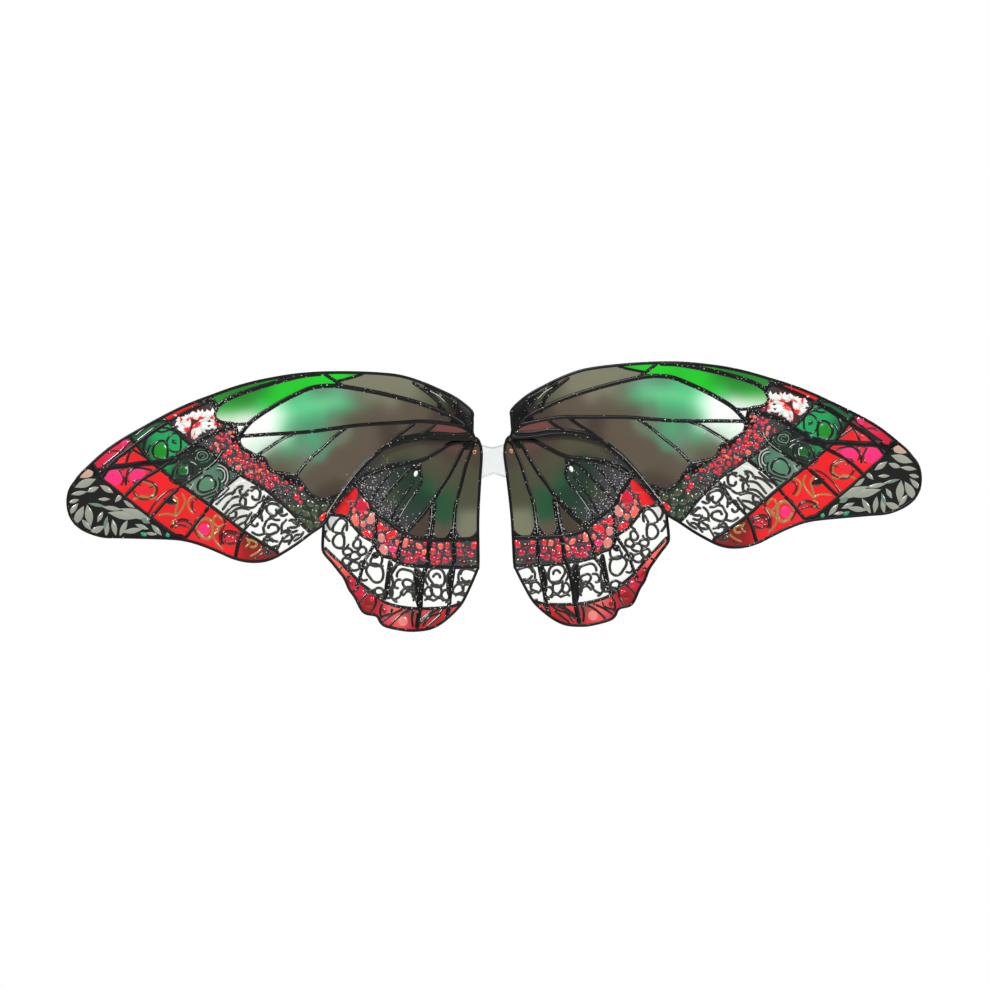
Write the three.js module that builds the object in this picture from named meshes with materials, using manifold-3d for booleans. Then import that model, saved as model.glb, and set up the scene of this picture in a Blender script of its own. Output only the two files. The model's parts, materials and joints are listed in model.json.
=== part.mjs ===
// Fairy wings: on each side a forewing and a hindwing of leaded film, clamped on one pivot bolt so that they fan,
// and folding together on a hinge at the edge of a clear back plate that is worn with two elastic shoulder loops.
// Millimetres. +X is the wearer's right, +Y points at the wearer, +Z is up. The origin is the middle of the grip
// pad's face, which lies against the wearer's back.

import * as THREE from "three";
import { mergeVertices } from "three/addons/utils/BufferGeometryUtils.js";
import Module from "manifold-3d";

const wasm = await Module();
wasm.setup();

// Overall size of the wings. The outlines below are drawn for the first two values.
const drawnReach = 468.5;
const drawnHeight = 284.3;
const wingReach = 468.5; // centre plane to forewing tip
const wingHeight = 284.3; // lowest point of the hindwing to highest point of the forewing
const sweepDegrees = 9; // each side leans back from the wearer by this much at rest

// Sheet stock
const filmThickness = 0.8;
const leadingHeight = 1.2;
const leadingWidth = 3.4;
const rimWidth = 3.6;
const rimThickness = 2.2;
const gap = 0.3; // between pieces that touch or are bonded
const filmSplit = 0.4; // width of the butt joint between two films of one wing

// Rods and arms
const rodRadius = 1.2;
const rodSteps = 16; // straight stretches that a bent rod is made of
const costaRodSteps = 22;
const armThickness = 3.5;

// Pivot, where both wings of a side are clamped
const pivot = [42, 13];
const boltRadius = 2.5;
const boltHeadRadius = 5;
const boltHeadHeight = 1.5;
const boltEnd = 1; // how far the bolt stands out of the nut
const bossRadius = 8;
const washerRadius = 6;
const washerThickness = 0.8;
const nutRadius = 7.5;
const nutThickness = 7;
const nutLobes = 12;
const boreClearance = 0.3;

// Root rivet of the hindwing
const rivetPlace = [20, -16];
const rivetRadius = 1.2;
const rivetHeadRadius = 2.6;
const rivetHeadHeight = 0.9;

// Fold hinge
const foldAxisOut = 19; // from the centre plane
const knuckleRadius = 3.2;
const pinRadius = 1.25;
const hingeLow = -46;
const hingeHigh = -6;
const knuckleLength = 10; // each fixed knuckle
const knuckleGap = 0.6;
const leafThickness = 2.5;
const foldAxisStandoff = 6.8; // from the back plate's front face to the fold axis

// Back plate, grip pad and straps
const outlineZero = 26; // height of the outlines' zero line above the origin
const plateThickness = 3;
const padThickness = 2.5;
const strapWidth = 20;
const strapThickness = 1.5;
const strapOut = 52; // centre of the strap from the centre plane
const slotHeight = 4;
const slotClearance = 1; // at each end of the strap's width
const topSlot = 31;
const bottomSlot = -68;
const barHeight = 8; // plate left between a slot and the plate's edge
const strapBulge = 88; // how far the loop stands off towards the wearer
const sliderHeight = 16;
const sliderMiddle = -49;
const sliderWall = 2;
const sliderBar = 3;
const sliderClearance = 0.5;

// Depths, all from the fold axis: minus is away from the wearer. They stack up from the leaf outwards.
const leafFront = -knuckleRadius;
const leafBack = leafFront + leafThickness;
const hindArmBack = leafFront - gap - washerThickness - gap;
const hindArmFront = hindArmBack - armThickness;
const hindFilmBack = hindArmFront - gap;
const hindFilmFront = hindFilmBack - filmThickness;
const hindLeadingBack = hindFilmFront - gap;
const hindLeadingFront = hindLeadingBack - leadingHeight;
const foreArmBack = hindLeadingFront - gap - 0.1;
const foreArmFront = foreArmBack - armThickness;
const foreFilmBack = foreArmFront - gap;
const foreFilmFront = foreFilmBack - filmThickness;
const foreLeadingBack = foreFilmFront - gap;
const foreLeadingFront = foreLeadingBack - leadingHeight;
const rearWasherFront = leafBack + gap;
const nutFront = rearWasherFront + washerThickness + gap;
const nutBack = nutFront + nutThickness;

const slotWidth = strapWidth + 2 * slotClearance;
const plateBack = -padThickness - gap;
const plateFront = plateBack - plateThickness;
const foldAxisDepth = plateFront - foldAxisStandoff;
const sweep = THREE.MathUtils.degToRad(sweepDegrees);
// Moves the drawing outwards, so that the swept wing's root still lies where it is drawn.
const drawingShift = -hindFilmFront * Math.tan(sweep);
const foldAxisDrawn = foldAxisOut - drawingShift; // the fold axis in the wings' own drawing

// Outlines: distance out from the centre plane, then height. Each starts at the root and goes round the top.
const forewingOutline = [
  [22, -1], [23, 6], [22.5, 20], [23.5, 29], [40, 43], [60, 53.5], [80, 62.3], [100, 68.7], [120, 71.8],
  [150, 74], [185, 74.8], [215, 73.5], [240, 70.3], [260, 66.8], [280, 62], [300, 55.8], [340, 41.7],
  [380, 22.5], [420, 0], [450, -24.7], [460, -36], [466, -45], [468.5, -57], [467, -70], [461, -81],
  [450, -89.5], [432, -96], [410, -97.5], [360, -100.5], [340, -103.5], [322, -109.5], [305, -117],
  [290, -124], [275, -128], [260, -128.5], [247, -125.5], [235, -119.5], [220, -110.5], [205, -100],
  [189, -89], [180, -74], [170, -58.5], [157, -42], [145, -28], [133, -17], [120, -9], [105, -4],
  [90, -0.5], [70, 1], [50, -1], [35, -2],
];
const hindwingOutline = [
  [20, 0], [14, -8], [12.7, -16], [12.8, -24], [15.2, -48], [18.6, -90], [19.8, -138], [22, -147],
  [32, -168], [39, -180.5], [46, -188.5], [55, -196.5], [65, -203.5], [76, -208], [90, -209.5],
  [103, -208.8], [122, -204.5], [129, -200], [134, -192], [148, -187.5], [157, -171], [163, -162],
  [168, -150], [174, -141.5], [182, -131], [189, -122.5], [191, -115], [189.5, -94], [189, -87],
  [180, -70], [170, -54], [157, -37.5], [145, -24], [133, -13], [120, -5], [105, 0], [90, 3.5],
  [70, 5], [45, 3],
];

// Dividing veins: each runs from beyond one margin to beyond the other, and two films butt together under it.
const forewingDividers = [
  [[158, -54], [177, -60], [190, -64], [205, -56], [219, -38], [243, -32], [253, -17], [268, -10], [278, -3],
    [281, 8], [285, 21], [304, 27], [306, 33], [303, 41], [318, 66]],
  [[190, -112], [205, -99], [232, -69.5], [265, -43], [308, -10], [333, 1], [345, 12], [363, 31], [377, 46]],
  [[230, -142], [240, -121], [279, -94.5], [318, -63], [362, -29], [378, -15.5], [397, 9], [409, 27]],
  [[338, -140], [343, -102.5], [378, -78], [405, -56], [430, -34.5], [440, -18], [449, -3]],
];
const hindwingDividers = [
  [[8, -111], [75, -111], [108, -98], [133, -78], [143, -62], [153, -48], [167, -32]],
  [[8, -142], [90, -139], [128, -125], [135, -112], [165, -83], [200, -76]],
  [[24, -176], [38, -180], [84, -186], [125, -177], [150, -156], [190, -115], [204, -104]],
];
// Corners outside the wing that close the first and the last film of each wing.
const forewingInside = [[318, 110], [-20, 110], [-20, -54]];
const forewingOutside = [[520, -3], [520, -140]];
const hindwingInside = [[167, 40], [-10, 40], [-10, -111]];
const hindwingOutside = [[230, -104], [230, -250], [0, -250]];

// The other veins, from the root outwards.
const forewingVeins = [
  [[30, 12], [45, 23], [80, 38.5], [120, 50], [160, 58.5], [180, 60.5], [200, 58.5], [220, 50.5], [240, 40.5],
    [262, 27], [272, 18], [281, 7]],
  [[162, 58.5], [176, 66], [205, 68.5], [240, 63.5], [280, 53], [303, 41]],
  [[304, 27], [285, 21], [262, 27]],
  [[57, 28], [60, 39], [75, 52.5], [88, 64]],
  [[30, 12], [60, 17], [100, 18.3], [140, 17], [200, 11], [281, 8]],
  [[160, 15.5], [175, 5], [205, -20.5], [219, -38]],
  [[217, 10], [245, -3.5], [262, -13]],
  [[86, 17.5], [97, 9.5], [118, -6]],
  [[64, 17], [80, 2]],
  [[303, 43], [340, 35], [375, 15], [408, -8], [421, -19], [431, -33]],
  [[283, 20], [320, 7], [350, -12.5], [385, -18.5], [422, -22], [434, -30]],
  [[350, -12.5], [385, -34.5], [408, -55]],
  [[297, -5], [306, -18], [335, -38], [360, -57.5], [380, -78]],
  [[276, -30], [304, -52], [320, -74], [342, -102]],
  [[243, -53], [263, -78], [279, -95], [288, -124]],
];
const hindwingVeins = [
  [[25, -4], [45, -6], [80, -24], [120, -31], [152, -48]],
  [[25, -4], [30, -30], [41, -67], [46, -108], [47, -140], [54, -185], [58, -200]],
  [[25, -4], [40, -25], [67, -68], [73, -110], [76, -135], [84, -170], [89, -207]],
  [[67, -68], [90, -94], [107, -120], [121, -165], [135, -193]],
  [[83, -26], [80, -46], [99, -73], [110, -97]],
  [[90, -28], [120, -61], [131, -90], [133, -110], [158, -164]],
];

// Rods run behind the film, under the leading edge and under a long vein.
const costaRodRoute = [[50, 38], [60, 45], [80, 54.5], [120, 64], [185, 68], [240, 63.5], [300, 49], [350, 31.5],
  [400, 5], [440, -23], [455, -44]];
const braceRodRoute = [[50, 16], [60, 17], [100, 18.3], [200, 11], [282, 8], [340, -5], [385, -18], [425, -24]];
const hindwingRodRoute = [[33, -14], [40, -25], [67, -68], [90, -94], [107, -120], [121, -165], [126, -178]];

// Arms and leaf, round the pivot's boss
const forewingArmOutline = [[27, 5], [48, 4], [66, 12], [66, 21.5], [56, 24], [72, 45], [68, 51.5], [56, 47],
  [38, 36.5], [27.5, 26]];
const hindwingArmOutline = [[35, 14], [49, 14], [50, -8], [45, -38], [36, -34], [18, -25], [17.5, -9], [27, -4]];
const leafOutline = [[foldAxisDrawn, hingeLow + knuckleLength + knuckleGap], [30, -35.4], [50, 10], [34, 14],
  [24, -12], [21.5, hingeHigh - knuckleLength - knuckleGap], [foldAxisDrawn, hingeHigh - knuckleLength - knuckleGap]];

// Right half of the back plate and of the grip pad, from the bottom of the middle round to its top.
const plateTop = topSlot + slotHeight / 2 + barHeight;
const plateBottom = bottomSlot - slotHeight / 2 - barHeight;
const armReach = strapOut + slotWidth / 2 + 3;
const plateHalf = [[0, -42], [15, -48], [20, -54], [20, plateBottom], [armReach, plateBottom], [armReach, -62],
  [32, -62], [30, -56], [30, 21], [34, 25], [armReach, 25], [armReach, plateTop], [39, plateTop], [25.5, 28],
  [24.5, 2], [15, -6], [0, -10]];
const padHalf = [[0, -40], [16, -46], [22, -54], [22, -76], [38, -76], [38, -64], [30, -64], [28, -57], [28, 22],
  [32, 27], [38, 27], [38, 38], [27.5, 27], [26.5, 1], [16, -8], [0, -12]];

// Strap loop in the plane of depth and height, from the top ring over the shoulder side to the bottom ring
const strapFace = -strapThickness / 2 - 1; // middle of the layer that lies on the plate's wearer side
const strapRoute = [[strapFace, topSlot + 3], [strapFace, topSlot + 6], [1, 40.4], [6, 41.8], [22, 41], [52, 33],
  [76, 14], [84, 2], [strapBulge, -12], [strapBulge, -86], [82, -116], [62, -146], [38, -158], [18, -148],
  [6, -120], [0, -96], [strapFace, -82], [strapFace, bottomSlot - 4]];

const colours = {
  clear: { color: 0xe8eef0, roughness: 0.1, metalness: 0, transparent: true, opacity: 0.35 },
  black: { color: 0x1e1e1c, roughness: 0.35, metalness: 0 },
  steel: { color: 0x8c8f94, roughness: 0.35, metalness: 1 },
  copper: { color: 0xb87850, roughness: 0.3, metalness: 1 },
  strap: { color: 0x161616, roughness: 0.9, metalness: 0 },
  green: { color: 0x2fae3c, roughness: 0.2, metalness: 0 },
  olive: { color: 0x4a4b35, roughness: 0.2, metalness: 0 },
  pebble: { color: 0xa8342a, roughness: 0.2, metalness: 0 },
  ring: { color: 0x4e9a6e, roughness: 0.2, metalness: 0 },
  white: { color: 0xd8dad0, roughness: 0.2, metalness: 0 },
  red: { color: 0xe02040, roughness: 0.2, metalness: 0 },
  salmon: { color: 0xe86a5a, roughness: 0.2, metalness: 0 },
  tip: { color: 0x55594e, roughness: 0.2, metalness: 0 },
};

// ---- Shape helpers -------------------------------------------------------------------------------------------

function toSolid(geometry) {
  const bare = geometry.index ? geometry.toNonIndexed() : geometry.clone();
  bare.deleteAttribute("normal");
  bare.deleteAttribute("uv");
  const merged = mergeVertices(bare, 1e-4);
  const vertProperties = merged.attributes.position.array;
  return new wasm.Manifold(new wasm.Mesh({ numProp: 3, vertProperties, triVerts: merged.index.array }));
}

function toGeometry(solid) {
  const { vertProperties, triVerts } = solid.getMesh();
  const geometry = new THREE.BufferGeometry();
  geometry.setAttribute("position", new THREE.BufferAttribute(vertProperties, 3));
  geometry.setIndex(new THREE.BufferAttribute(triVerts, 1));
  geometry.computeVertexNormals();
  return geometry;
}

// Scales drawn points to the chosen reach and height.
function fitted(points) {
  return points.map(([out, up]) => [(out * wingReach) / drawnReach, (up * wingHeight) / drawnHeight]);
}

const rivet = fitted([rivetPlace])[0];

// A flat solid whose outline lies across and up, between two depths.
function slab(outline, front, back) {
  const shape = new THREE.Shape(outline.map(([out, up]) => new THREE.Vector2(out, up)));
  const geometry = new THREE.ExtrudeGeometry(shape, { depth: back - front, bevelEnabled: false });
  geometry.rotateX(Math.PI / 2);
  geometry.translate(0, back, 0);
  return toSolid(geometry);
}

// A round solid along the depth, at a point of the drawing. The profile lists radius and depth.
function turned([out, up], profile, sides = 16) {
  const geometry = new THREE.LatheGeometry(profile.map(([r, depth]) => new THREE.Vector2(r, depth)), sides);
  geometry.translate(out, 0, up);
  return toSolid(geometry);
}

function disc(centre, radius, front, back, sides = 16) {
  return turned(centre, [[0, front], [radius, front], [radius, back], [0, back]], sides);
}

// An upright round solid on the fold axis.
function upright(out, depth, profile, sides = 16) {
  const geometry = new THREE.LatheGeometry(profile.map(([r, up]) => new THREE.Vector2(r, up)), sides);
  geometry.rotateX(Math.PI / 2);
  geometry.translate(out, depth, 0);
  return toSolid(geometry);
}

function box(low, high) {
  const size = low.map((value, i) => high[i] - value);
  const geometry = new THREE.BoxGeometry(...size);
  geometry.translate(...low.map((value, i) => (value + high[i]) / 2));
  return toSolid(geometry);
}

// Mitred sideways steps at each point of a line: moving along them keeps parallel edges parallel.
function sideSteps(points, closed) {
  const last = points.length - 1;
  return points.map((point, i) => {
    const before = points[i > 0 ? i - 1 : closed ? last : 0];
    const after = points[i < last ? i + 1 : closed ? 0 : last];
    const arriving = new THREE.Vector2(point[0] - before[0], point[1] - before[1]);
    const leaving = new THREE.Vector2(after[0] - point[0], after[1] - point[1]);
    if (arriving.length() === 0) arriving.copy(leaving);
    if (leaving.length() === 0) leaving.copy(arriving);
    arriving.normalize();
    leaving.normalize();
    const along = arriving.clone().add(leaving).normalize();
    const stretch = 1 / Math.max(along.dot(arriving), 0.6);
    return [-along.y * stretch, along.x * stretch];
  });
}

function moved(points, steps, distance) {
  return points.map(([out, up], i) => [out + steps[i][0] * distance, up + steps[i][1] * distance]);
}

// The loop moved inwards. The outlines here run clockwise or anticlockwise, so the side comes from the area.
function inset(loop, distance) {
  const turn = THREE.ShapeUtils.area(loop.map(([out, up]) => new THREE.Vector2(out, up)));
  return moved(loop, sideSteps(loop, true), distance * Math.sign(turn));
}

function ribbonOutline(points, width) {
  const steps = sideSteps(points, false);
  return [...moved(points, steps, -width / 2), ...moved(points, steps, width / 2).reverse()];
}

function mirrored(half) {
  const inner = half.filter(([out]) => out > 0);
  return [...half, ...inner.reverse().map(([out, up]) => [-out, up])];
}

function rod(route, depth, radius, steps) {
  const path = new THREE.CatmullRomCurve3(route.map(([out, up]) => new THREE.Vector3(out, depth, up)));
  const section = new THREE.Shape();
  section.absarc(0, 0, radius, 0, Math.PI * 2);
  const geometry = new THREE.ExtrudeGeometry(section, {
    steps, curveSegments: 4, bevelEnabled: false, extrudePath: path,
  });
  return toSolid(geometry);
}

// Room for a rod that ends inside an arm: the rod's own shape grown by the gap, with a round end.
function rodGroove(route, depth, steps) {
  const radius = rodRadius + gap;
  return rod(route, depth, radius, steps).add(disc(route[0], radius, depth - radius, depth + radius));
}

function together(solids) {
  return solids.reduce((sum, solid) => sum.add(solid));
}

function piece(name, solid, colour) {
  const mesh = new THREE.Mesh(toGeometry(solid), new THREE.MeshStandardMaterial(colour));
  mesh.name = name;
  return mesh;
}

// ---- Wings ---------------------------------------------------------------------------------------------------

// The films of one wing: the sheet inside the rim, cut along the dividing veins.
function films(outline, dividers, inside, outside, front, back, cuts) {
  const sheet = slab(inset(outline, rimWidth + gap), front, back);
  const joints = dividers.map((line) => slab(ribbonOutline(line, filmSplit), front - 1, back + 1));
  const regions = [[...dividers[0], ...inside]];
  for (let i = 1; i < dividers.length; i += 1) {
    regions.push([...dividers[i - 1], ...[...dividers[i]].reverse()]);
  }
  regions.push([...dividers.at(-1), ...outside]);
  return regions.map((region) => {
    const whole = sheet.intersect(slab(region, front - 1, back + 1));
    return [...joints, ...cuts].reduce((film, cut) => film.subtract(cut), whole);
  });
}

// The edge binding, flush with the film at the back, where the arms and rods lie.
function rim(outline, back) {
  const front = back - rimThickness;
  return slab(outline, front, back).subtract(slab(inset(outline, rimWidth), front - 1, back + 1));
}

// The raised lattice: a strip along each line, and solid patches, all inside the rim.
function leading(outline, lines, patches, front, back, cuts) {
  const shapes = [...lines.map((line) => ribbonOutline(line, leadingWidth)), ...patches];
  const whole = together(shapes.map((shape) => slab(shape, front, back)));
  const inner = slab(inset(outline, rimWidth + gap), front - 1, back + 1);
  return cuts.reduce((lattice, cut) => lattice.subtract(cut), whole.intersect(inner));
}

// A flat arm with the pivot's boss and bore, and open grooves that hold its rods against the film.
function rootArm(outline, front, back, grooves) {
  const blank = slab(outline, front, back).add(disc(pivot, bossRadius, front, back));
  const bore = disc(pivot, boltRadius + boreClearance, front - 1, back + 1);
  return [bore, ...grooves].reduce((arm, cut) => arm.subtract(cut), blank);
}

function forewing(side) {
  const outline = fitted(forewingOutline);
  const dividers = forewingDividers.map(fitted);
  const rodDepth = foreFilmBack + gap + rodRadius;
  const costa = fitted(costaRodRoute);
  const brace = fitted(braceRodRoute);
  const grooves = [rodGroove(costa, rodDepth, costaRodSteps), rodGroove(brace, rodDepth, rodSteps)];
  const headPocket = disc(pivot, boltHeadRadius + boreClearance, foreArmFront - 1, foreArmFront + boltHeadHeight + gap);
  const hub = fitted([[26, 8], [44, 12], [44, 22], [38, 31], [26.5, 27]]);
  const sheets = films(outline, dividers, fitted(forewingInside), fitted(forewingOutside), foreFilmFront,
    foreFilmBack, []);
  const lines = [...forewingVeins.map(fitted), ...dividers];
  const lattice = leading(outline, lines, [hub], foreLeadingFront, foreLeadingBack, []);
  return [
    piece(`forewing_cells_film_${side}`, sheets[0], colours.green),
    piece(`forewing_pebble_film_${side}`, sheets[1], colours.pebble),
    piece(`forewing_ring_film_${side}`, sheets[2], colours.ring),
    piece(`forewing_red_film_${side}`, sheets[3], colours.red),
    piece(`forewing_tip_film_${side}`, sheets[4], colours.tip),
    piece(`forewing_leading_${side}`, lattice, colours.black),
    piece(`forewing_rim_${side}`, rim(outline, foreFilmBack), colours.black),
    piece(`forewing_costa_rod_${side}`, rod(costa, rodDepth, rodRadius, costaRodSteps), colours.black),
    piece(`forewing_brace_rod_${side}`, rod(brace, rodDepth, rodRadius, rodSteps), colours.black),
    piece(`forewing_root_arm_${side}`, rootArm(fitted(forewingArmOutline), foreArmFront, foreArmBack,
      [...grooves, headPocket]), colours.black),
    piece(`pivot_bolt_${side}`, bolt(), colours.steel),
    piece(`pivot_spacer_${side}`, washer(foreArmBack + gap, hindArmFront - gap), colours.steel),
  ];
}

function hindwing(side) {
  const outline = fitted(hindwingOutline);
  const dividers = hindwingDividers.map(fitted);
  const route = fitted(hindwingRodRoute);
  const rodDepth = hindFilmBack + gap + rodRadius;
  const rivetHole = disc(rivet, rivetRadius + boreClearance, hindFilmFront - 5, hindArmBack + 5);
  const sheets = films(outline, dividers, fitted(hindwingInside), fitted(hindwingOutside), hindFilmFront,
    hindFilmBack, [rivetHole]);
  const lines = [...hindwingVeins.map(fitted), ...dividers];
  const rivetRoom = disc(rivet, rivetHeadRadius + gap, hindLeadingFront - 1, hindLeadingBack + 1);
  const groove = rodGroove(route, rodDepth, rodSteps);
  return [
    piece(`hindwing_cells_film_${side}`, sheets[0], colours.olive),
    piece(`hindwing_pebble_film_${side}`, sheets[1], colours.pebble),
    piece(`hindwing_scroll_film_${side}`, sheets[2], colours.white),
    piece(`hindwing_border_film_${side}`, sheets[3], colours.salmon),
    piece(`hindwing_leading_${side}`, leading(outline, lines, [], hindLeadingFront, hindLeadingBack, [rivetRoom]),
      colours.black),
    piece(`hindwing_rim_${side}`, rim(outline, hindFilmBack), colours.black),
    piece(`hindwing_rod_${side}`, rod(route, rodDepth, rodRadius, rodSteps), colours.black),
    piece(`hindwing_root_arm_${side}`, rootArm(fitted(hindwingArmOutline), hindArmFront, hindArmBack,
      [rivetHole, groove]), colours.black),
    piece(`root_rivet_${side}`, rootRivet(), colours.copper),
  ];
}

// ---- Hardware ------------------------------------------------------------------------------------------------

function bolt() {
  const headFront = foreArmFront;
  const headBack = headFront + boltHeadHeight;
  return turned(pivot, [[0, headFront], [boltHeadRadius, headFront], [boltHeadRadius, headBack],
    [boltRadius, headBack], [boltRadius, nutBack + boltEnd], [0, nutBack + boltEnd]]);
}

function washer(front, back) {
  return disc(pivot, washerRadius, front, back).subtract(disc(pivot, boltRadius + boreClearance, front - 1, back + 1));
}

// A nut with a scalloped edge that fingers can turn, with a plain collar towards the leaf.
function thumbNut() {
  const collar = 1.5;
  const outline = [];
  for (let i = 0; i < nutLobes * 2; i += 1) {
    const angle = (i * Math.PI) / nutLobes;
    const radius = i % 2 ? nutRadius - 1 : nutRadius;
    outline.push([pivot[0] + radius * Math.cos(angle), pivot[1] + radius * Math.sin(angle)]);
  }
  return slab(outline, nutFront + collar, nutBack)
    .add(disc(pivot, washerRadius, nutFront, nutFront + collar))
    .subtract(disc(pivot, boltRadius + boreClearance, nutFront - 1, nutBack + 1));
}

function rootRivet() {
  const frontFace = hindFilmFront - gap;
  const backFace = hindArmBack + gap;
  const tail = 0.5;
  return turned(rivet, [[0, frontFace - rivetHeadHeight], [rivetHeadRadius * 0.7, frontFace - rivetHeadHeight * 0.7],
    [rivetHeadRadius, frontFace], [rivetRadius, frontFace], [rivetRadius, backFace], [rivetRadius * 1.7, backFace],
    [rivetRadius * 1.7, backFace + tail], [0, backFace + tail]], 16);
}

function hingeLeaf() {
  const low = hingeLow + knuckleLength + knuckleGap;
  const high = hingeHigh - knuckleLength - knuckleGap;
  const barrel = upright(foldAxisDrawn, 0, [[0, low], [knuckleRadius, low], [knuckleRadius, high], [0, high]]);
  const pinHole = upright(foldAxisDrawn, 0, [[0, low - 1], [pinRadius + boreClearance, low - 1],
    [pinRadius + boreClearance, high + 1], [0, high + 1]]);
  return slab(leafOutline, leafFront, leafBack)
    .add(disc(pivot, bossRadius, leafFront, leafBack))
    .add(barrel)
    .subtract(pinHole)
    .subtract(disc(pivot, boltRadius + boreClearance, leafFront - 1, leafBack + 1));
}

function hingePin() {
  const head = 1.2;
  const reach = 0.4; // how far the pin's ends stand clear of the knuckles
  const low = hingeLow - reach;
  const high = hingeHigh + reach;
  const headRadius = pinRadius * 1.8;
  return upright(foldAxisOut, foldAxisDepth, [[0, low - head], [headRadius, low - head], [headRadius, low],
    [pinRadius, low], [pinRadius, high], [headRadius, high], [headRadius, high + head], [0, high + head]]);
}

// ---- Harness -------------------------------------------------------------------------------------------------

function knuckle(out, low) {
  const high = low + knuckleLength;
  const barrel = upright(out, foldAxisDepth, [[0, low], [knuckleRadius, low], [knuckleRadius, high], [0, high]]);
  const post = box([out - knuckleRadius, foldAxisDepth, low], [out + knuckleRadius, plateFront + 1, high]);
  const hole = upright(out, foldAxisDepth, [[0, low - 1], [pinRadius + boreClearance, low - 1],
    [pinRadius + boreClearance, high + 1], [0, high + 1]]);
  return barrel.add(post).subtract(hole);
}

function backPlate() {
  const solids = [slab(mirrored(plateHalf), plateFront, plateBack)];
  for (const out of [-foldAxisOut, foldAxisOut]) {
    solids.push(knuckle(out, hingeLow), knuckle(out, hingeHigh - knuckleLength));
  }
  const slots = [];
  for (const out of [-strapOut, strapOut]) {
    for (const up of [topSlot, bottomSlot]) {
      slots.push(box([out - slotWidth / 2, plateFront - 1, up - slotHeight / 2],
        [out + slotWidth / 2, plateBack + 1, up + slotHeight / 2]));
    }
  }
  return slots.reduce((plate, slot) => plate.subtract(slot), together(solids));
}

// A flat band of strap, drawn in depth and height and as wide as the strap.
function band(outline) {
  const shape = new THREE.Shape(outline.map(([depth, up]) => new THREE.Vector2(depth, up)));
  const geometry = new THREE.ExtrudeGeometry(shape, { depth: strapWidth, bevelEnabled: false });
  // Swings depth and height from the drawing plane into place, with the band's width along X.
  geometry.applyMatrix4(new THREE.Matrix4().set(0, 0, 1, strapOut - strapWidth / 2, 1, 0, 0, 0, 0, 1, 0, 0, 0, 0, 0, 1));
  return toSolid(geometry);
}

// The strap's end wraps the bar beside a slot and is sewn back on itself.
function strapRing(slot, outwards) {
  const barInner = slot + (outwards * slotHeight) / 2;
  const barOuter = barInner + outwards * barHeight;
  const near = barInner - outwards * gap;
  const far = barOuter + outwards * gap;
  const reach = outwards * strapThickness;
  const front = plateFront - gap;
  const back = plateBack + gap;
  const outer = [[front - strapThickness, near - reach], [back + strapThickness, near - reach],
    [back + strapThickness, far + reach], [front - strapThickness, far + reach]];
  const x = strapOut - strapWidth / 2;
  const hollow = box([x - 1, front, Math.min(near, far)], [x + strapWidth + 1, back, Math.max(near, far)]);
  const corners = outwards > 0 ? outer : [...outer].reverse();
  return band(corners).subtract(hollow);
}

function strap() {
  return together([band(ribbonOutline(strapRoute, strapThickness)), strapRing(topSlot, 1), strapRing(bottomSlot, -1)]);
}

// A frame with a middle bar: the strap runs under the two outer bars and over the middle one.
function slider() {
  const inner = strapWidth / 2 + sliderClearance;
  const outer = inner + sliderWall;
  const bandBack = strapBulge + strapThickness / 2 + sliderClearance;
  const bandFront = strapBulge - strapThickness / 2 - sliderClearance;
  const thick = 1.5;
  const low = sliderMiddle - sliderHeight / 2;
  const high = sliderMiddle + sliderHeight / 2;
  const rails = [-1, 1].map((hand) => {
    const x = [strapOut + hand * inner, strapOut + hand * outer].sort((a, b) => a - b);
    return box([x[0], bandFront - thick, low], [x[1], bandBack + thick, high]);
  });
  const across = (up, front) => box([strapOut - outer + 0.5, front, up],
    [strapOut + outer - 0.5, front + thick, up + sliderBar]);
  return together([...rails, across(low, bandBack), across(high - sliderBar, bandBack),
    across(sliderMiddle - sliderBar / 2, bandFront - thick)]);
}

// ---- Assembly ------------------------------------------------------------------------------------------------

function sideOf(side, hand) {
  const whole = new THREE.Group();
  whole.scale.x = hand;
  const swept = new THREE.Group();
  swept.position.set(foldAxisOut, foldAxisDepth, 0);
  swept.rotation.z = -sweep;
  const drawing = new THREE.Group(); // inside it, places are those of the outlines
  drawing.position.x = -foldAxisDrawn;
  drawing.add(...forewing(side), ...hindwing(side));
  drawing.add(piece(`hinge_leaf_${side}`, hingeLeaf(), colours.black));
  drawing.add(piece(`leaf_washer_front_${side}`, washer(hindArmBack + gap, leafFront - gap), colours.steel));
  drawing.add(piece(`leaf_washer_rear_${side}`, washer(rearWasherFront, nutFront - gap), colours.steel));
  drawing.add(piece(`thumb_nut_${side}`, thumbNut(), colours.black));
  swept.add(drawing);
  whole.add(swept);
  whole.add(piece(`hinge_pin_${side}`, hingePin(), colours.steel));
  whole.add(piece(`shoulder_strap_${side}`, strap(), colours.strap));
  whole.add(piece(`strap_slider_${side}`, slider(), colours.black));
  return whole;
}

const wings = new THREE.Group();
wings.position.z = outlineZero;
wings.add(piece("back_plate", backPlate(), colours.clear));
wings.add(piece("grip_pad", slab(mirrored(padHalf), -padThickness, 0), colours.clear));
wings.add(sideOf("right", 1), sideOf("left", -1));

export default wings;
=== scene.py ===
# %% [markdown]
# # Fairy wings in leaded glass film
# Two forewings and two hindwings of bright film, divided by raised black leading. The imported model
# holds every piece that has a working shape: films, rods, arms, bolts, hinges, plate and straps. This
# lesson keeps those pieces where they are, gives each one its finish, and builds the fine surface that
# they stand for: panes, pebbles, rings, leaves, leading and webbing.

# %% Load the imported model
import json
import math
import random

import bpy
from mathutils import Matrix, Vector, geometry, kdtree


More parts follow.
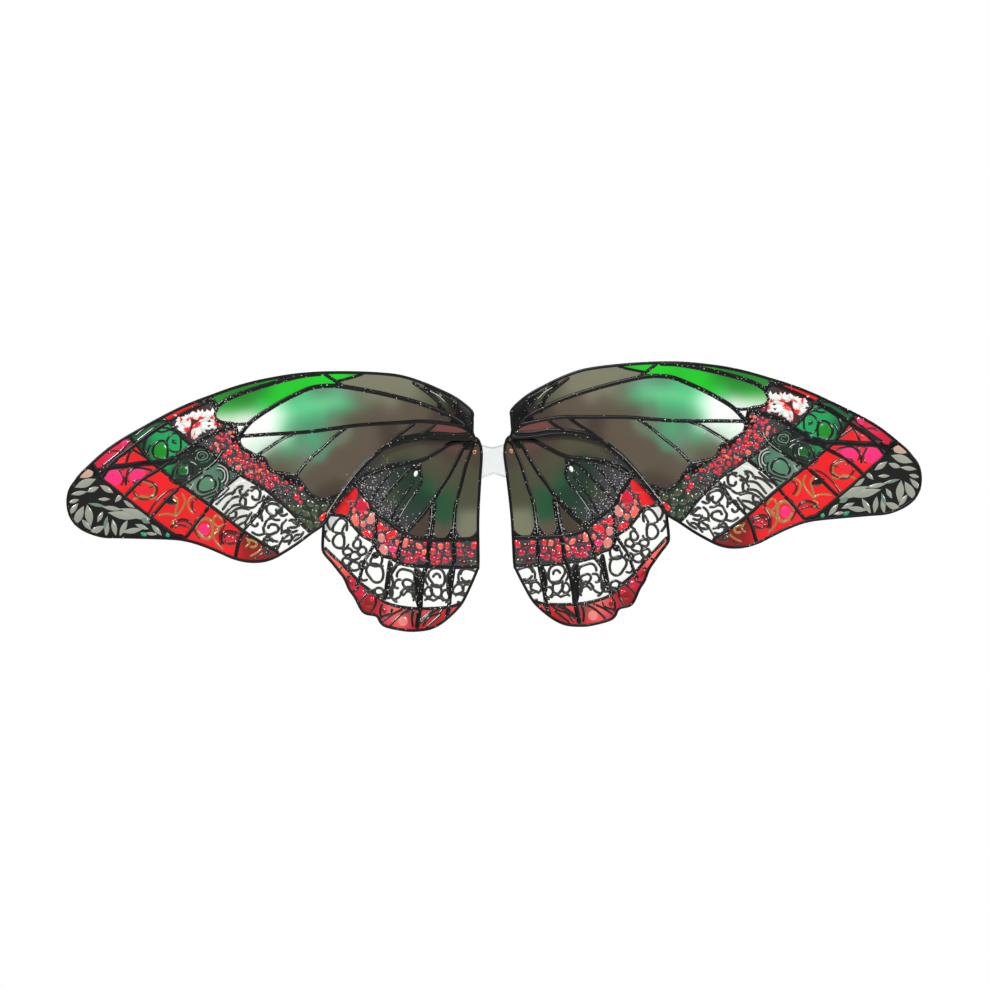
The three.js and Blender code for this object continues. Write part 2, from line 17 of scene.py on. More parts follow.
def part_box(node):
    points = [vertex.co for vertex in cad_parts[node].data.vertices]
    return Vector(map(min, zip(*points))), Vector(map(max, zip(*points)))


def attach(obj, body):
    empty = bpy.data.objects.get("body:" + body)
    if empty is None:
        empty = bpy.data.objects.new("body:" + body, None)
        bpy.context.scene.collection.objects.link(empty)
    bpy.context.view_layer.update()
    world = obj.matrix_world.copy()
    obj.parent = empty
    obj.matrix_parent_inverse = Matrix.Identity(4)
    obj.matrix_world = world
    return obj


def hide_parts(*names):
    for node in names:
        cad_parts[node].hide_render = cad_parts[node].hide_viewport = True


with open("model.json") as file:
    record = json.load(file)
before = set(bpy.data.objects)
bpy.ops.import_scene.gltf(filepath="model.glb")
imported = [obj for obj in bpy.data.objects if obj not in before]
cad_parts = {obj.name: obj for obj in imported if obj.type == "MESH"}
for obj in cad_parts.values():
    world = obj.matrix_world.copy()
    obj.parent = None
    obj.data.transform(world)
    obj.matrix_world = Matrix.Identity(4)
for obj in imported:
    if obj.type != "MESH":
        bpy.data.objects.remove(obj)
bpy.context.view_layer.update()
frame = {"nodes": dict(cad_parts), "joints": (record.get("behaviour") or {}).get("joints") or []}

nodes = frame["nodes"]
joints = {joint["name"]: joint for joint in frame["joints"]}
MM = 0.001
SIDES = ("right", "left")

# %% [markdown]
# ## Where a wing's drawing lies
# A wing is flat, so its pattern is drawn on a sheet: so many millimetres out from the middle and so
# many up. The pivot bolt is one known place on that sheet, and its joint's axis says which way the
# sheet faces. With both, any place of the drawing can be put into the model. The left side is the
# mirror image of the right, so every mesh is made once and mirrored.

# %% The right wings' own directions
PIVOT = (42.0, 13.0)  # the pivot bolt in the wings' drawing

spread = joints["right_forewing_spread"]
pivot_place = Vector(spread["pos_m"])
to_wearer = -Vector(spread["axis"]).normalized()
outwards = Vector((to_wearer.y, -to_wearer.x, 0))
upwards = Vector((0, 0, 1))


def faces_of(node):
    """How far a film's outer and inner face lie from the fold axis, in millimetres towards the wearer."""
    depths = [(corner.co - pivot_place).dot(to_wearer) / MM for corner in nodes[node].data.vertices]
    return min(depths), max(depths)


def place(out, up, depth):
    """A place in the drawing of a right wing, in the model's own metres."""
    return pivot_place + (outwards * (out - PIVOT[0]) + upwards * (up - PIVOT[1]) + to_wearer * depth) * MM


FORE_FACES = faces_of("forewing_cells_film_right")
HIND_FACES = faces_of("hindwing_cells_film_right")
print("film faces", [round(value, 2) for value in FORE_FACES + HIND_FACES])


# %% [markdown]
# ## Colours by name
# A maker picks film and resin by name, so the palette is one table. Blender's shaders work in linear
# light, and the table's values are as a screen shows them, so they are converted once.

# %% The palette
def linear(hex_text, glow=1.0):
    """A screen colour such as 1ED42A as linear red, green, blue."""
    parts = [int(hex_text[i:i + 2], 16) / 255 for i in (0, 2, 4)]
    return tuple(glow * (v / 12.92 if v <= 0.04045 else ((v + 0.055) / 1.055) ** 2.4) for v in parts)


PALETTE = {name: linear(value) for name, value in {
    "bright green": "14D321", "leaf green": "22B52C", "deep green": "1B7F22", "mint": "6FE09A",
    "pale mint": "CFF3D8", "white": "FDFFFA", "grey white": "E3E6DC", "brown": "5C5243",
    "dark brown": "45392E", "olive": "7D7D66", "dark olive": "4A4B35", "hind olive": "4C4A36",
    "hind green": "1C5230", "forest": "0F3A22", "root pink": "74403A", "grey green": "56896B",
    "glow green": "4DB777", "sage olive": "68735C", "sage": "6F8A78", "slate sage": "415F52",
    "patch green": "12A65A", "disc green": "0E8F1E", "eye green": "0B6420", "night green": "14301F",
    "stripe green": "0E6B33", "red": "F4141A", "hot red": "F0202E", "pink": "FF2A78", "rose": "C8183C",
    "crimson": "D8123A", "dark red": "94100F", "maroon": "5E1212", "salmon": "FF6B5A", "gold": "A67C3C",
    "black": "0B0B0A", "ground": "3C3C3F", "leaf grey": "9DA294", "beige": "CFA994", "teal": "1FA070",
    "blush": "F08A80", "copper": "C4805A", "enamel": "2B2C28",
}.items()}
print(f"{len(PALETTE)} colours")


# %% [markdown]
# ## Lines as a maker bends them
# Veins are gentle curves through a few chosen points. A Catmull-Rom curve passes through every point
# that is given, so the points can be read off a sketch, and the helper returns them at an even spacing.

# %% Curves through points
def smooth(points, spacing=1.6, closed=False):
    """Evenly spaced points of a curve through the given ones."""
    last = len(points)
    curve = []
    for i in range(last if closed else last - 1):
        if closed:
            a, b, c, d = (Vector(points[(i + k) % last]) for k in (-1, 0, 1, 2))
        else:
            b = Vector(points[i])
            c = Vector(points[i + 1])
            a = Vector(points[i - 1]) if i else b * 2 - c
            d = Vector(points[i + 2]) if i + 2 < last else c * 2 - b
        count = max(1, round((c - b).length / spacing))
        for k in range(count):
            t = k / count
            curve.append(0.5 * (2 * b + (c - a) * t + (2 * a - 5 * b + 4 * c - d) * t * t
                                + (3 * b - a - 3 * c + d) * t ** 3))
    if not closed:
        curve.append(Vector(points[-1]))
    return curve


def side_steps(points, closed=False):
    """Unit steps to the left of a line at each of its points."""
    last = len(points)
    steps = []
    for i in range(last):
        before = points[i - 1] if i or closed else points[i]
        after = points[(i + 1) % last] if i + 1 < last or closed else points[i]
        along = (after - before).normalized()
        steps.append(Vector((-along.y, along.x)))
    return steps


def turned(centre, along, across, angle):
    """A place so far along and across from a centre, after a turn by an angle in radians."""
    c, s = math.cos(angle), math.sin(angle)
    return Vector((centre[0] + along * c - across * s, centre[1] + along * s + across * c))


def arc(centre, radius, start=0.0, sweep=360.0, squash=1.0, turn=0.0, shrink=1.0, spacing=1.4):
    """Points of a round, oval or spiral stroke. The radius runs to radius * shrink at its end."""
    count = max(6, round(radius * math.radians(abs(sweep)) / spacing))
    points = []
    for k in range(count + (abs(sweep) < 360)):
        share = k / count
        angle = math.radians(start + sweep * share)
        reach = radius * (1 + (shrink - 1) * share)
        x = reach * math.cos(angle)
        y = reach * math.sin(angle) * squash
        points.append(turned(centre, x, y, math.radians(turn)))
    return points


print("a 10 mm ring has", len(arc((0, 0), 10)), "points")


# %% [markdown]
# ## Relief: how glass, resin and metal stand on the film
# Everything on the film is one of two shapes. A bead is a line of resin squeezed from a tube, round on
# top and flat below, with rounded ends. A pebble is a drop that has set as a low dome. Relief collects
# both as plain lists, with a colour and an amount of glitter at every point, and turns them into one
# closed-skinned mesh for the right wing and one for the left. The same drawing shows on the wearer's
# side, nearly flush, because the pattern goes right through the film.

# %% The relief builder
BEAD_SECTION = 7  # points over a bead's round top
TALLEST = 1.4  # the highest shape on a film
FLUSH = 0.28  # how far that shape stands proud on the wearer's side
DOME = ((1.0, 0.0), (0.88, 0.26), (0.7, 0.56), (0.45, 0.84), (0.2, 0.97))  # a pebble's rings: size and height


def painted_mesh(name, corners, faces, tints, hand):
    """A smooth mesh with a tint and a glitter at every point. hand -1 mirrors it to the left side."""
    if hand < 0:
        corners = [Vector((-corner.x, corner.y, corner.z)) for corner in corners]
        faces = [tuple(reversed(face)) for face in faces]
    mesh = bpy.data.meshes.new(name)
    mesh.from_pydata(corners, [], faces)
    colour = mesh.attributes.new("tint", "FLOAT_COLOR", "POINT")
    colour.data.foreach_set("color", [v for tint in tints for v in (*tint[:3], 1.0)])
    glitter = mesh.attributes.new("glitter", "FLOAT", "POINT")
    glitter.data.foreach_set("value", [tint[3] for tint in tints])
    mesh.shade_smooth()
    return mesh


class Relief:
    """Shapes in a wing's drawing: out, up and height over the film, with a colour and a glitter at each."""

    def __init__(self, wing=None):
        self.wing = wing
        self.points = []
        self.faces = []
        self.tints = []
        self.walls = []

    def add(self, out, up, height, tint, glitter=0.0):
        self.points.append((out, up, height))
        self.tints.append((*tint, glitter))
        return len(self.points) - 1

    def bead(self, line, width, height, tint, glitter=0.0, closed=False):
        """A round-topped line, narrowed at its ends. A pair of glitters is for its start and its end."""
        steps = side_steps(line, closed)
        length = len(line)
        rings = []
        first, final = glitter if isinstance(glitter, tuple) else (glitter, glitter)
        for i, (point, step) in enumerate(zip(line, steps)):
            room = 1 if closed else min(i, length - 1 - i) / max(1.0, 0.5 * width / 1.4)
            swell = math.sqrt(max(0.06, min(1.0, room * (2 - min(room, 1)))))
            ring = []
            glint = first + (final - first) * i / max(1, length - 1)
            for k in range(BEAD_SECTION):
                angle = math.pi * k / (BEAD_SECTION - 1)
                spot = point + step * (-math.cos(angle) * width / 2 * swell)
                ring.append(self.add(spot.x, spot.y, math.sin(angle) ** 2 * height * swell, tint, glint))
            rings.append(ring)
        for i in range(length if closed else length - 1):
            near, far = rings[i], rings[(i + 1) % length]
            for k in range(BEAD_SECTION):
                m = (k + 1) % BEAD_SECTION
                self.faces.append((near[k], far[k], far[m], near[m]))
        if not closed:
            self.faces.append(tuple(rings[0]))
            self.faces.append(tuple(reversed(rings[-1])))

    def pebble(self, outline, height, tint, glitter=0.0):
        """A low dome over a closed outline that runs anticlockwise."""
        centre = sum(outline, Vector((0, 0))) / len(outline)
        rings = []
        for share, lift in DOME:
            spots = [centre + (point - centre) * share for point in outline]
            rings.append([self.add(*spot, lift * height, tint, glitter) for spot in spots])
        count = len(outline)
        for near, far in zip(rings, rings[1:]):
            for k in range(count):
                m = (k + 1) % count
                self.faces.append((near[k], near[m], far[m], far[k]))
        self.faces.append(tuple(rings[-1]))
        self.faces.append(tuple(reversed(rings[0])))

    def mesh(self, name, faces_at, hand=1):
        """The shapes on a wing's outer face and, nearly flush, on its inner one. hand -1 mirrors them."""
        outer, inner = faces_at
        corners = [place(out, up, outer - height) for out, up, height in self.points]
        flat = FLUSH / TALLEST
        corners += [place(out, up, inner + height * flat) for out, up, height in self.points]
        shift = len(self.points)
        skins = [tuple(face) for face in self.faces]
        skins += [tuple(index + shift for index in reversed(face)) for face in self.faces]
        skins += [(b, a, a + shift, b + shift) for a, b in self.walls]
        mesh = painted_mesh(name, corners, skins, self.tints + self.tints, hand)
        mesh.set_sharp_from_angle(angle=math.radians(55))
        return mesh


print("relief builder ready")


# %% [markdown]
# ## The drawing: margins and leading
# The leading of a glass wing is drawn first, because everything else fits between its lines. Each line
# carries its width and how much silver glitter the resin holds at its start and end. Lines marked as
# dividers part one colour of film from the next, so they run a little past the margins.

# %% Margins of the two wings
FORE_MARGIN = [
    (22, -1), (23, 6), (22.5, 20), (23.5, 29), (40, 43), (60, 53.5), (80, 62.3), (100, 68.7), (120, 71.8),
    (150, 74), (185, 74.8), (215, 73.5), (240, 70.3), (260, 66.8), (280, 62), (300, 55.8), (340, 41.7),
    (380, 22.5), (420, 0), (450, -24.7), (460, -36), (466, -45), (468.5, -57), (467, -70), (461, -81),
    (450, -89.5), (432, -96), (410, -97.5), (360, -100.5), (340, -103.5), (322, -109.5), (305, -117),
    (290, -124), (275, -128), (260, -128.5), (247, -125.5), (235, -119.5), (220, -110.5), (205, -100),
    (189, -89), (180, -74), (170, -58.5), (157, -42), (145, -28), (133, -17), (120, -9), (105, -4),
    (90, -0.5), (70, 1), (50, -1), (35, -2),
]
HIND_MARGIN = [
    (20, 0), (14, -8), (12.7, -16), (12.8, -24), (15.2, -48), (18.6, -90), (19.8, -138), (22, -147),
    (32, -168), (39, -180.5), (46, -188.5), (55, -196.5), (65, -203.5), (76, -208), (90, -209.5),
    (103, -208.8), (122, -204.5), (129, -200), (134, -192), (148, -187.5), (157, -171), (163, -162),
    (168, -150), (174, -141.5), (182, -131), (189, -122.5), (191, -115), (189.5, -94), (189, -87),
    (180, -70), (170, -54), (157, -37.5), (145, -24), (133, -13), (120, -5), (105, 0), (90, 3.5),
    (70, 5), (45, 3),
]
print(len(FORE_MARGIN), "and", len(HIND_MARGIN), "margin points")

# %% Leading of the forewing: width, glitter at each end, points
FORE_DIVIDERS = [
    (3.6, 0.5, 0.9, [(158, -54), (177, -60), (190, -64), (198, -61), (205, -56), (212, -46), (219, -38),
                     (230, -34), (243, -32), (249, -26), (253, -17), (261, -14), (268, -10), (278, -3),
                     (281, 8), (285, 21), (297, 23.5), (304, 27), (306, 33), (303, 41), (309, 51),
                     (318, 66)]),
    (3.2, 0.5, 0.3, [(190, -112), (205, -99), (213, -91), (222, -80), (232, -69.5), (250, -53),
                     (265, -43), (278, -35), (292, -26), (303, -18), (308, -10), (320, -3), (333, 1),
                     (345, 12), (355, 24), (363, 31), (377, 46)]),
    (3.4, 0.2, 0.05, [(230, -142), (240, -121), (258, -109), (279, -94.5), (300, -77), (318, -63),
                      (345, -42.5), (362, -29), (372, -21), (378, -15.5), (388, -3), (397, 9),
                      (409, 27)]),
    (3.4, 0.05, 0.05, [(338, -140), (343, -102.5), (355, -96), (378, -78), (405, -56), (420, -43),
                       (430, -34.5), (440, -18), (449, -3)]),
]
FORE_VEINS = [
    (4.6, 0.15, 0.45, [(30, 12), (45, 23), (80, 38.5), (120, 50), (160, 58.5), (180, 60.5), (200, 58.5),
                       (220, 50.5), (240, 40.5), (262, 27), (272, 18), (281, 7)]),
    (3.4, 0.3, 0.3, [(162, 58.5), (172, 65), (180, 70.5), (188, 76)]),
    (2.6, 0.1, 0.3, [(134, 76), (145, 71.5), (158, 68), (172, 65)]),
    (4.6, 0.2, 0.6, [(187, 73.8), (205, 72.6), (222, 69.5), (240, 65.2), (260, 59.8), (280, 53.5),
                     (295, 47), (303, 41)]),
    (3.2, 0.7, 0.8, [(304, 27), (297, 23.5), (285, 21.5), (270, 21.8), (262, 26.5)]),
    (3.0, 0.35, 0.25, [(55, 24), (58, 31), (60, 39), (67, 46), (75, 52.5), (88, 62)]),
    (3.8, 0.1, 0.1, [(30, 12), (60, 17), (80, 19), (100, 18.3), (140, 17), (160, 15.5), (200, 11)]),
    (3.8, 0.2, 0.95, [(200, 11), (225, 10), (250, 9.3), (282, 8)]),
    (3.2, 0.4, 0.75, [(160, 15.5), (175, 5), (190, -8), (205, -20.5), (219, -36.5)]),
    (3.4, 0.8, 0.95, [(217, 10), (232, 4.5), (245, -3.5), (262, -14)]),
    (3.4, 0.05, 0.1, [(86, 17.5), (97, 9.5), (110, 1), (120, -8)]),
    (3.0, 0.05, 0.05, [(62, 17), (70, 10.5), (82, 3)]),
    (5.4, 0.05, 0.15, [(24, 3), (44, 2.6), (60, 4.4), (80, 3.7), (100, 0.5), (115, -5), (125, -11)]),
    (5.6, 0.15, 0.7, [(125, -11), (140, -23), (155, -39), (170, -58), (180, -72), (188, -85)]),
    (2.6, 0.4, 0.3, [(42, 31), (50, 41), (60, 49), (74, 56.5), (64, 46), (57, 37), (52, 29)]),
    (3.6, 0.5, 0.1, [(303, 43), (310, 47), (325, 41.5), (340, 35), (357, 26)]),
    (4.2, 0.05, 0.05, [(357, 26), (375, 15), (393, 2.5), (408, -8), (421, -19), (431, -33)]),
    (5.0, 0.7, 0.1, [(283, 20), (300, 15), (320, 7), (335, -3), (350, -12.5)]),
    (5.4, 0.05, 0.05, [(350, -12.5), (365, -17.5), (385, -18.5), (405, -20.5), (422, -22), (436, -30)]),
    (3.6, 0.05, 0.05, [(350, -12.5), (368, -25), (385, -34.5), (397, -44), (408, -55)]),
    (3.4, 0.85, 0.2, [(297, -5), (306, -18), (320, -28.5), (335, -38), (347, -46)]),
    (3.4, 0.05, 0.05, [(347, -46), (360, -57.5), (370, -68), (380, -78)]),
    (3.6, 0.7, 0.3, [(276, -30), (290, -41), (304, -52), (313, -64), (320, -74)]),
    (3.6, 0.05, 0.05, [(320, -74), (331, -87), (342, -101)]),
    (3.2, 0.7, 0.5, [(243, -50), (254, -64), (263, -78), (279, -95)]),
    (3.6, 0.1, 0.1, [(279, -95), (284, -108), (288, -124)]),
]
print(len(FORE_DIVIDERS) + len(FORE_VEINS), "lines of leading on each forewing")

# %% Leading of the hindwing
HIND_DIVIDERS = [
    (4.4, 0.2, 0.6, [(8, -110), (30, -111.5), (60, -111.5), (75, -111), (95, -106.5), (108, -98),
                     (120, -88), (133, -78), (143, -62), (153, -48), (167, -32)]),
    (3.4, 0.25, 0.7, [(8, -142), (50, -142), (90, -139), (105, -136), (116, -130), (128, -125),
                      (135, -112), (147, -104), (155, -95), (165, -83), (180, -80), (200, -76)]),
    (3.0, 0.4, 0.6, [(24, -176), (38, -180), (53, -185), (84, -186), (108, -183), (125, -177),
                     (136, -167), (150, -156), (165, -140), (180, -125), (190, -115), (204, -104)]),
]
HIND_VEINS = [
    (4.6, 0.05, 0.2, [(25, -4), (45, -6), (60, -14), (80, -24), (100, -27.5)]),
    (6.0, 0.2, 0.7, [(100, -27.5), (120, -31), (140, -39), (152, -49)]),
    (3.4, 0.1, 0.2, [(20, -2), (24, -15), (30, -30), (36, -51), (41, -67)]),
    (4.0, 0.4, 0.6, [(41, -67), (44, -80), (46, -108), (47, -140), (51, -165), (54, -185), (58, -199)]),
    (4.2, 0.1, 0.2, [(25, -3), (33, -12), (40, -25), (50, -42), (60, -56), (67, -68)]),
    (7.0, 0.5, 0.9, [(67, -68), (69, -85), (73, -110)]),
    (4.6, 0.5, 0.2, [(73, -110), (76, -135), (81, -150), (84, -170), (86, -185), (90, -208)]),
    (3.4, 0.3, 0.5, [(67, -68), (80, -84), (90, -94), (100, -104), (107, -120), (109, -135), (117, -148),
                     (121, -165), (125, -176)]),
    (2.6, 0.5, 0.5, [(61, -58), (73, -72), (86, -86), (98, -99)]),
    (3.0, 0.5, 0.7, [(83, -28), (81, -37), (80, -46), (88, -60), (99, -73), (108, -88), (110, -97)]),
    (2.4, 0.6, 0.6, [(88, -45), (96, -57), (106, -71), (115, -88)]),
    (3.4, 0.4, 0.9, [(90, -30), (106, -46), (120, -61), (130, -73), (132, -80)]),
    (3.4, 0.8, 0.6, [(132, -80), (131, -92), (133, -110), (139, -122), (146, -133), (151, -149),
                     (156, -160)]),
    (3.0, 0.7, 0.7, [(110, -32), (122, -45), (133, -60), (139, -70)]),
]
print(len(HIND_DIVIDERS) + len(HIND_VEINS), "lines of leading on each hindwing")

# %% [markdown]
# ## The paint: what colour each pane takes
# A pane shades from one colour to another, partly as dipped film does and partly as painted reflection
# of the light on its gloss, and its white spots are painted highlights. So a pane isn't given one colour
# but a few spots of it. Between the spots the colours blend, and they never cross the leading. Each entry
# is a colour, the amount of loose silver flakes that the film holds there, and the places that take both.

# %% Spots of colour on each film
FORE_PAINT = {
    "cells": {
        ("dark olive", 0): [(66, 53), (54, 42), (70, 40)],
        ("olive", 0): [(100, 58), (130, 63), (155, 64), (75, 46), (158, 62), (146, 66), (112, 42),
            (130, 48)],
        ("black", 0.2): [(40, 37)],
        ("bright green", 0): [(165, 70.5), (172, 71), (192, 64), (210, 64), (235, 56), (222, 58),
            (246, 48)],
        ("leaf green", 0): [(155, 72), (212, 69), (225, 66), (240, 61), (258, 45), (301, 39.5),
            (294, 40.5), (280, 39), (290, 37)],
        ("deep green", 0): [(250, 56), (262, 55), (272, 50), (266, 44), (275, 43), (283, 47), (285, 42),
            (291, 46), (297, 42.5), (290, 50), (298, 45), (262, 62.6), (285, 56.5), (303, 50)],
        ("mint", 0): [(256, 38), (175, 44), (190, 41), (204, 39), (218, 33), (232, 40), (231, 19)],
        # The white spots are painted highlights: the glare of the light on the glossy film, painted into the
        # panes' colour.
        ("white", 0): [(266, 31), (276, 29), (286, 29), (295, 30), (300, 30), (278, 25), (290, 25),
            (240, 27), (243, 18), (246, 34), (254, 25), (264, 17), (255, 14), (282, 14)],
        ("dark brown", 0): [(60, 24), (78, 11), (84, 9), (115, 8), (185, -55)],
        ("brown", 0): [(80, 30), (110, 26), (90, 22), (125, 34), (95, 38), (140, 25), (160, 26), (92, 7),
            (135, 5), (150, -15), (170, -20), (190, -40), (205, -40), (230, -26), (246, -24)],
        ("sage olive", 0): [(145, 40), (148, 52), (176, 20), (176, 10), (222, -15), (244, -14),
            (216, -24)],
        ("glow green", 0): [(162, 40), (192, 29), (206, 50), (206, 27), (220, 44), (219, 22), (200, 3),
            (224, -4)],
        ("sage", 0): [(160, 52), (221, 14), (210, -6)],
        ("grey green", 0): [(178, 54), (175, 30), (192, 53), (194, 19), (208, 17), (188, 6), (212, 5),
            (197, -6), (236, -8)],
        ("pale mint", 0): [(231, 30)],
        ("root pink", 0): [(35, 8), (45, 9), (58, 11)],
        ("pale mint", 0.5): [(232, 6)],
        ("white", 0.3): [(245, 5)],
        ("pale mint", 0.3): [(252, 0), (262, -5)],
        ("white", 0.2): [(262, 4), (274, 5)],
    },
    "pebble": {
        ("night green", 0.1): [(190, -72)],
        ("night green", 0.2): [(210, -70)],
        ("ground", 0.4): [(222, -62), (262, -30)],
        ("ground", 0.5): [(240, -45)],
        ("ground", 0.6): [(278, -18), (315, 50)],
        ("ground", 0.3): [(290, 0), (305, 2), (300, 22)],
        ("ground", 0.2): [(283, 2), (312, 36), (318, 10)],
        ("black", 0.2): [(325, -4)],
        ("maroon", 0.1): [(318, 20), (335, 22)],
        ("maroon", 0): [(325, 33)],
        ("ground", 0.05): [(345, 24)],
        ("red", 0): [(330, 44), (350, 34), (357, 30)],
    },
    "ring": {
        ("white", 0): [(220, -96), (245, -90), (235, -112), (262, -62), (270, -88)],
        ("grey white", 0): [(290, -70), (285, -52), (300, -66)],
        ("grey white", 0.3): [(278, -40)],
        ("slate sage", 0.2): [(292, -34)],
        ("grey green", 0.1): [(300, -40)],
        ("grey green", 0): [(317, -43)],
        ("sage", 0): [(325, -55), (335, -48), (310, -58)],
        ("night green", 0.4): [(306, -14)],
        ("night green", 0.2): [(320, -14)],
        ("forest", 0): [(342, -27), (352, -36), (388, 4), (398, 10)],
        ("night green", 0.1): [(330, -26)],
        ("patch green", 0): [(360, -24), (352, 0), (366, -5), (360, 14), (372, 10)],
        ("patch green", 0.3): [(338, 0)],
        ("stripe green", 0): [(378, -6), (370, 24), (385, 16)],
    },
    "red": {
        ("hot red", 0): [(405, 4), (408, -14), (400, -26), (325, -96), (300, -108)],
        ("pink", 0): [(416, -4), (392, -30), (418, -32)],
        ("crimson", 0): [(430, -12)],
        ("red", 0): [(410, -8), (392, -6), (382, -13), (372, -23), (408, -44), (365, -42), (385, -50),
            (398, -56), (378, -72), (352, -46), (340, -56), (330, -66), (355, -75), (345, -90),
            (366, -80), (308, -80), (292, -92), (290, -116), (315, -106)],
        ("maroon", 0): [(272, -104)],
        ("dark red", 0): [(262, -112), (250, -120), (275, -120)],
    },
    "tip": {
        ("black", 0): [(440, -60), (400, -80), (365, -96), (445, -26)],
    },
}
print({film: sum(map(len, paints.values())) for film, paints in FORE_PAINT.items()}, "spots of colour")

# %% The same for the hindwing
HIND_PAINT = {
    "cells": {
        ("root pink", 0): [(45, -1), (36, -9)],
        ("dark brown", 0): [(60, -3), (46, -18), (20, -20), (80, -98)],
        ("hind olive", 0): [(85, -12), (58, -28), (70, -32), (60, -48), (30, -16), (38, -35), (46, -50)],
        ("hind olive", 0.03): [(110, -14)],
        ("hind olive", 0.12): [(125, -22)],
        ("ground", 0.35): [(140, -30)],
        ("ground", 0.4): [(156, -44)],
        ("hind green", 0): [(74, -50), (52, -62), (60, -78), (54, -85)],
        ("forest", 0): [(86, -68)],
        ("forest", 0.02): [(92, -80)],
        ("forest", 0.05): [(76, -70)],
        ("ground", 0.1): [(84, -82)],
        ("ground", 0.3): [(96, -92), (120, -44)],
        ("brown", 0): [(56, -102), (64, -104)],
        ("dark olive", 0): [(24, -48), (32, -70)],
        ("olive", 0): [(32, -90), (34, -106)],
        ("dark brown", 0.2): [(88, -104)],
        ("night green", 0.1): [(92, -40), (98, -66), (105, -36)],
        ("night green", 0.12): [(104, -58)],
        ("night green", 0.05): [(90, -52)],
        ("dark olive", 0.2): [(110, -62)],
        ("ground", 0.8): [(118, -75), (130, -52)],
        ("ground", 1.0): [(112, -90), (122, -84), (138, -50), (144, -46)],
        ("ground", 0.5): [(104, -80), (126, -38)],
        ("ground", 0.7): [(136, -64)],
    },
    "pebble": {
        ("ground", 0.15): [(30, -128), (45, -120)],
        ("ground", 0.2): [(60, -128), (78, -130)],
        ("ground", 0.25): [(95, -122)],
        ("ground", 0.5): [(120, -110), (155, -70)],
        ("ground", 0.6): [(140, -90), (152, -90)],
        ("black", 0.4): [(175, -75)],
    },
    "scroll": {
        ("white", 0): [(35, -155), (65, -160), (100, -160), (110, -150), (132, -140), (135, -160),
            (150, -130), (165, -105), (180, -95), (160, -140), (78, -160), (44, -175)],
    },
    "border": {
        ("salmon", 0): [(45, -186), (78, -190), (104, -199), (112, -190), (168, -143), (178, -130)],
        ("red", 0): [(52, -193), (62, -190), (80, -203)],
        ("dark red", 0): [(68, -200), (140, -178), (143, -185)],
        ("dark brown", 0): [(95, -192)],
        ("blush", 0): [(120, -190)],
        ("crimson", 0): [(124, -200), (128, -188), (148, -168), (160, -155), (95, -204)],
        ("blush", 0.2): [(187, -118)],
    },
}
print({film: sum(map(len, paints.values())) for film, paints in HIND_PAINT.items()}, "spots of colour")

# %% [markdown]
# ## Cutting panes
# A real maker lays film under the leading and trims it there. Here a constrained triangulation does the
# same: it fills a wing's margin with triangles whose edges follow every line of leading, with a fine
# grid of points in between. Triangles that can be reached from each other without crossing a line are
# one pane. The leading is wider than the seam, so the cuts never show.

# %% Triangulate a wing and find its panes
LEAD_WIDTH = 1.16  # every line of leading is drawn this much wider than its number
MARGIN_WIDTH = 3.0  # the band that the binding covers along the margin
GRID = 3.2  # spacing of the points inside a pane
EYE = 0.45  # the power that turns light into brightness as seen
BLEND_REACH = 7.5  # how far a spot's colour carries, in millimetres
FAINT_PULL = 1e-3  # what is left of it beyond that, so that no place is without colour
FAINT_REACH = 20


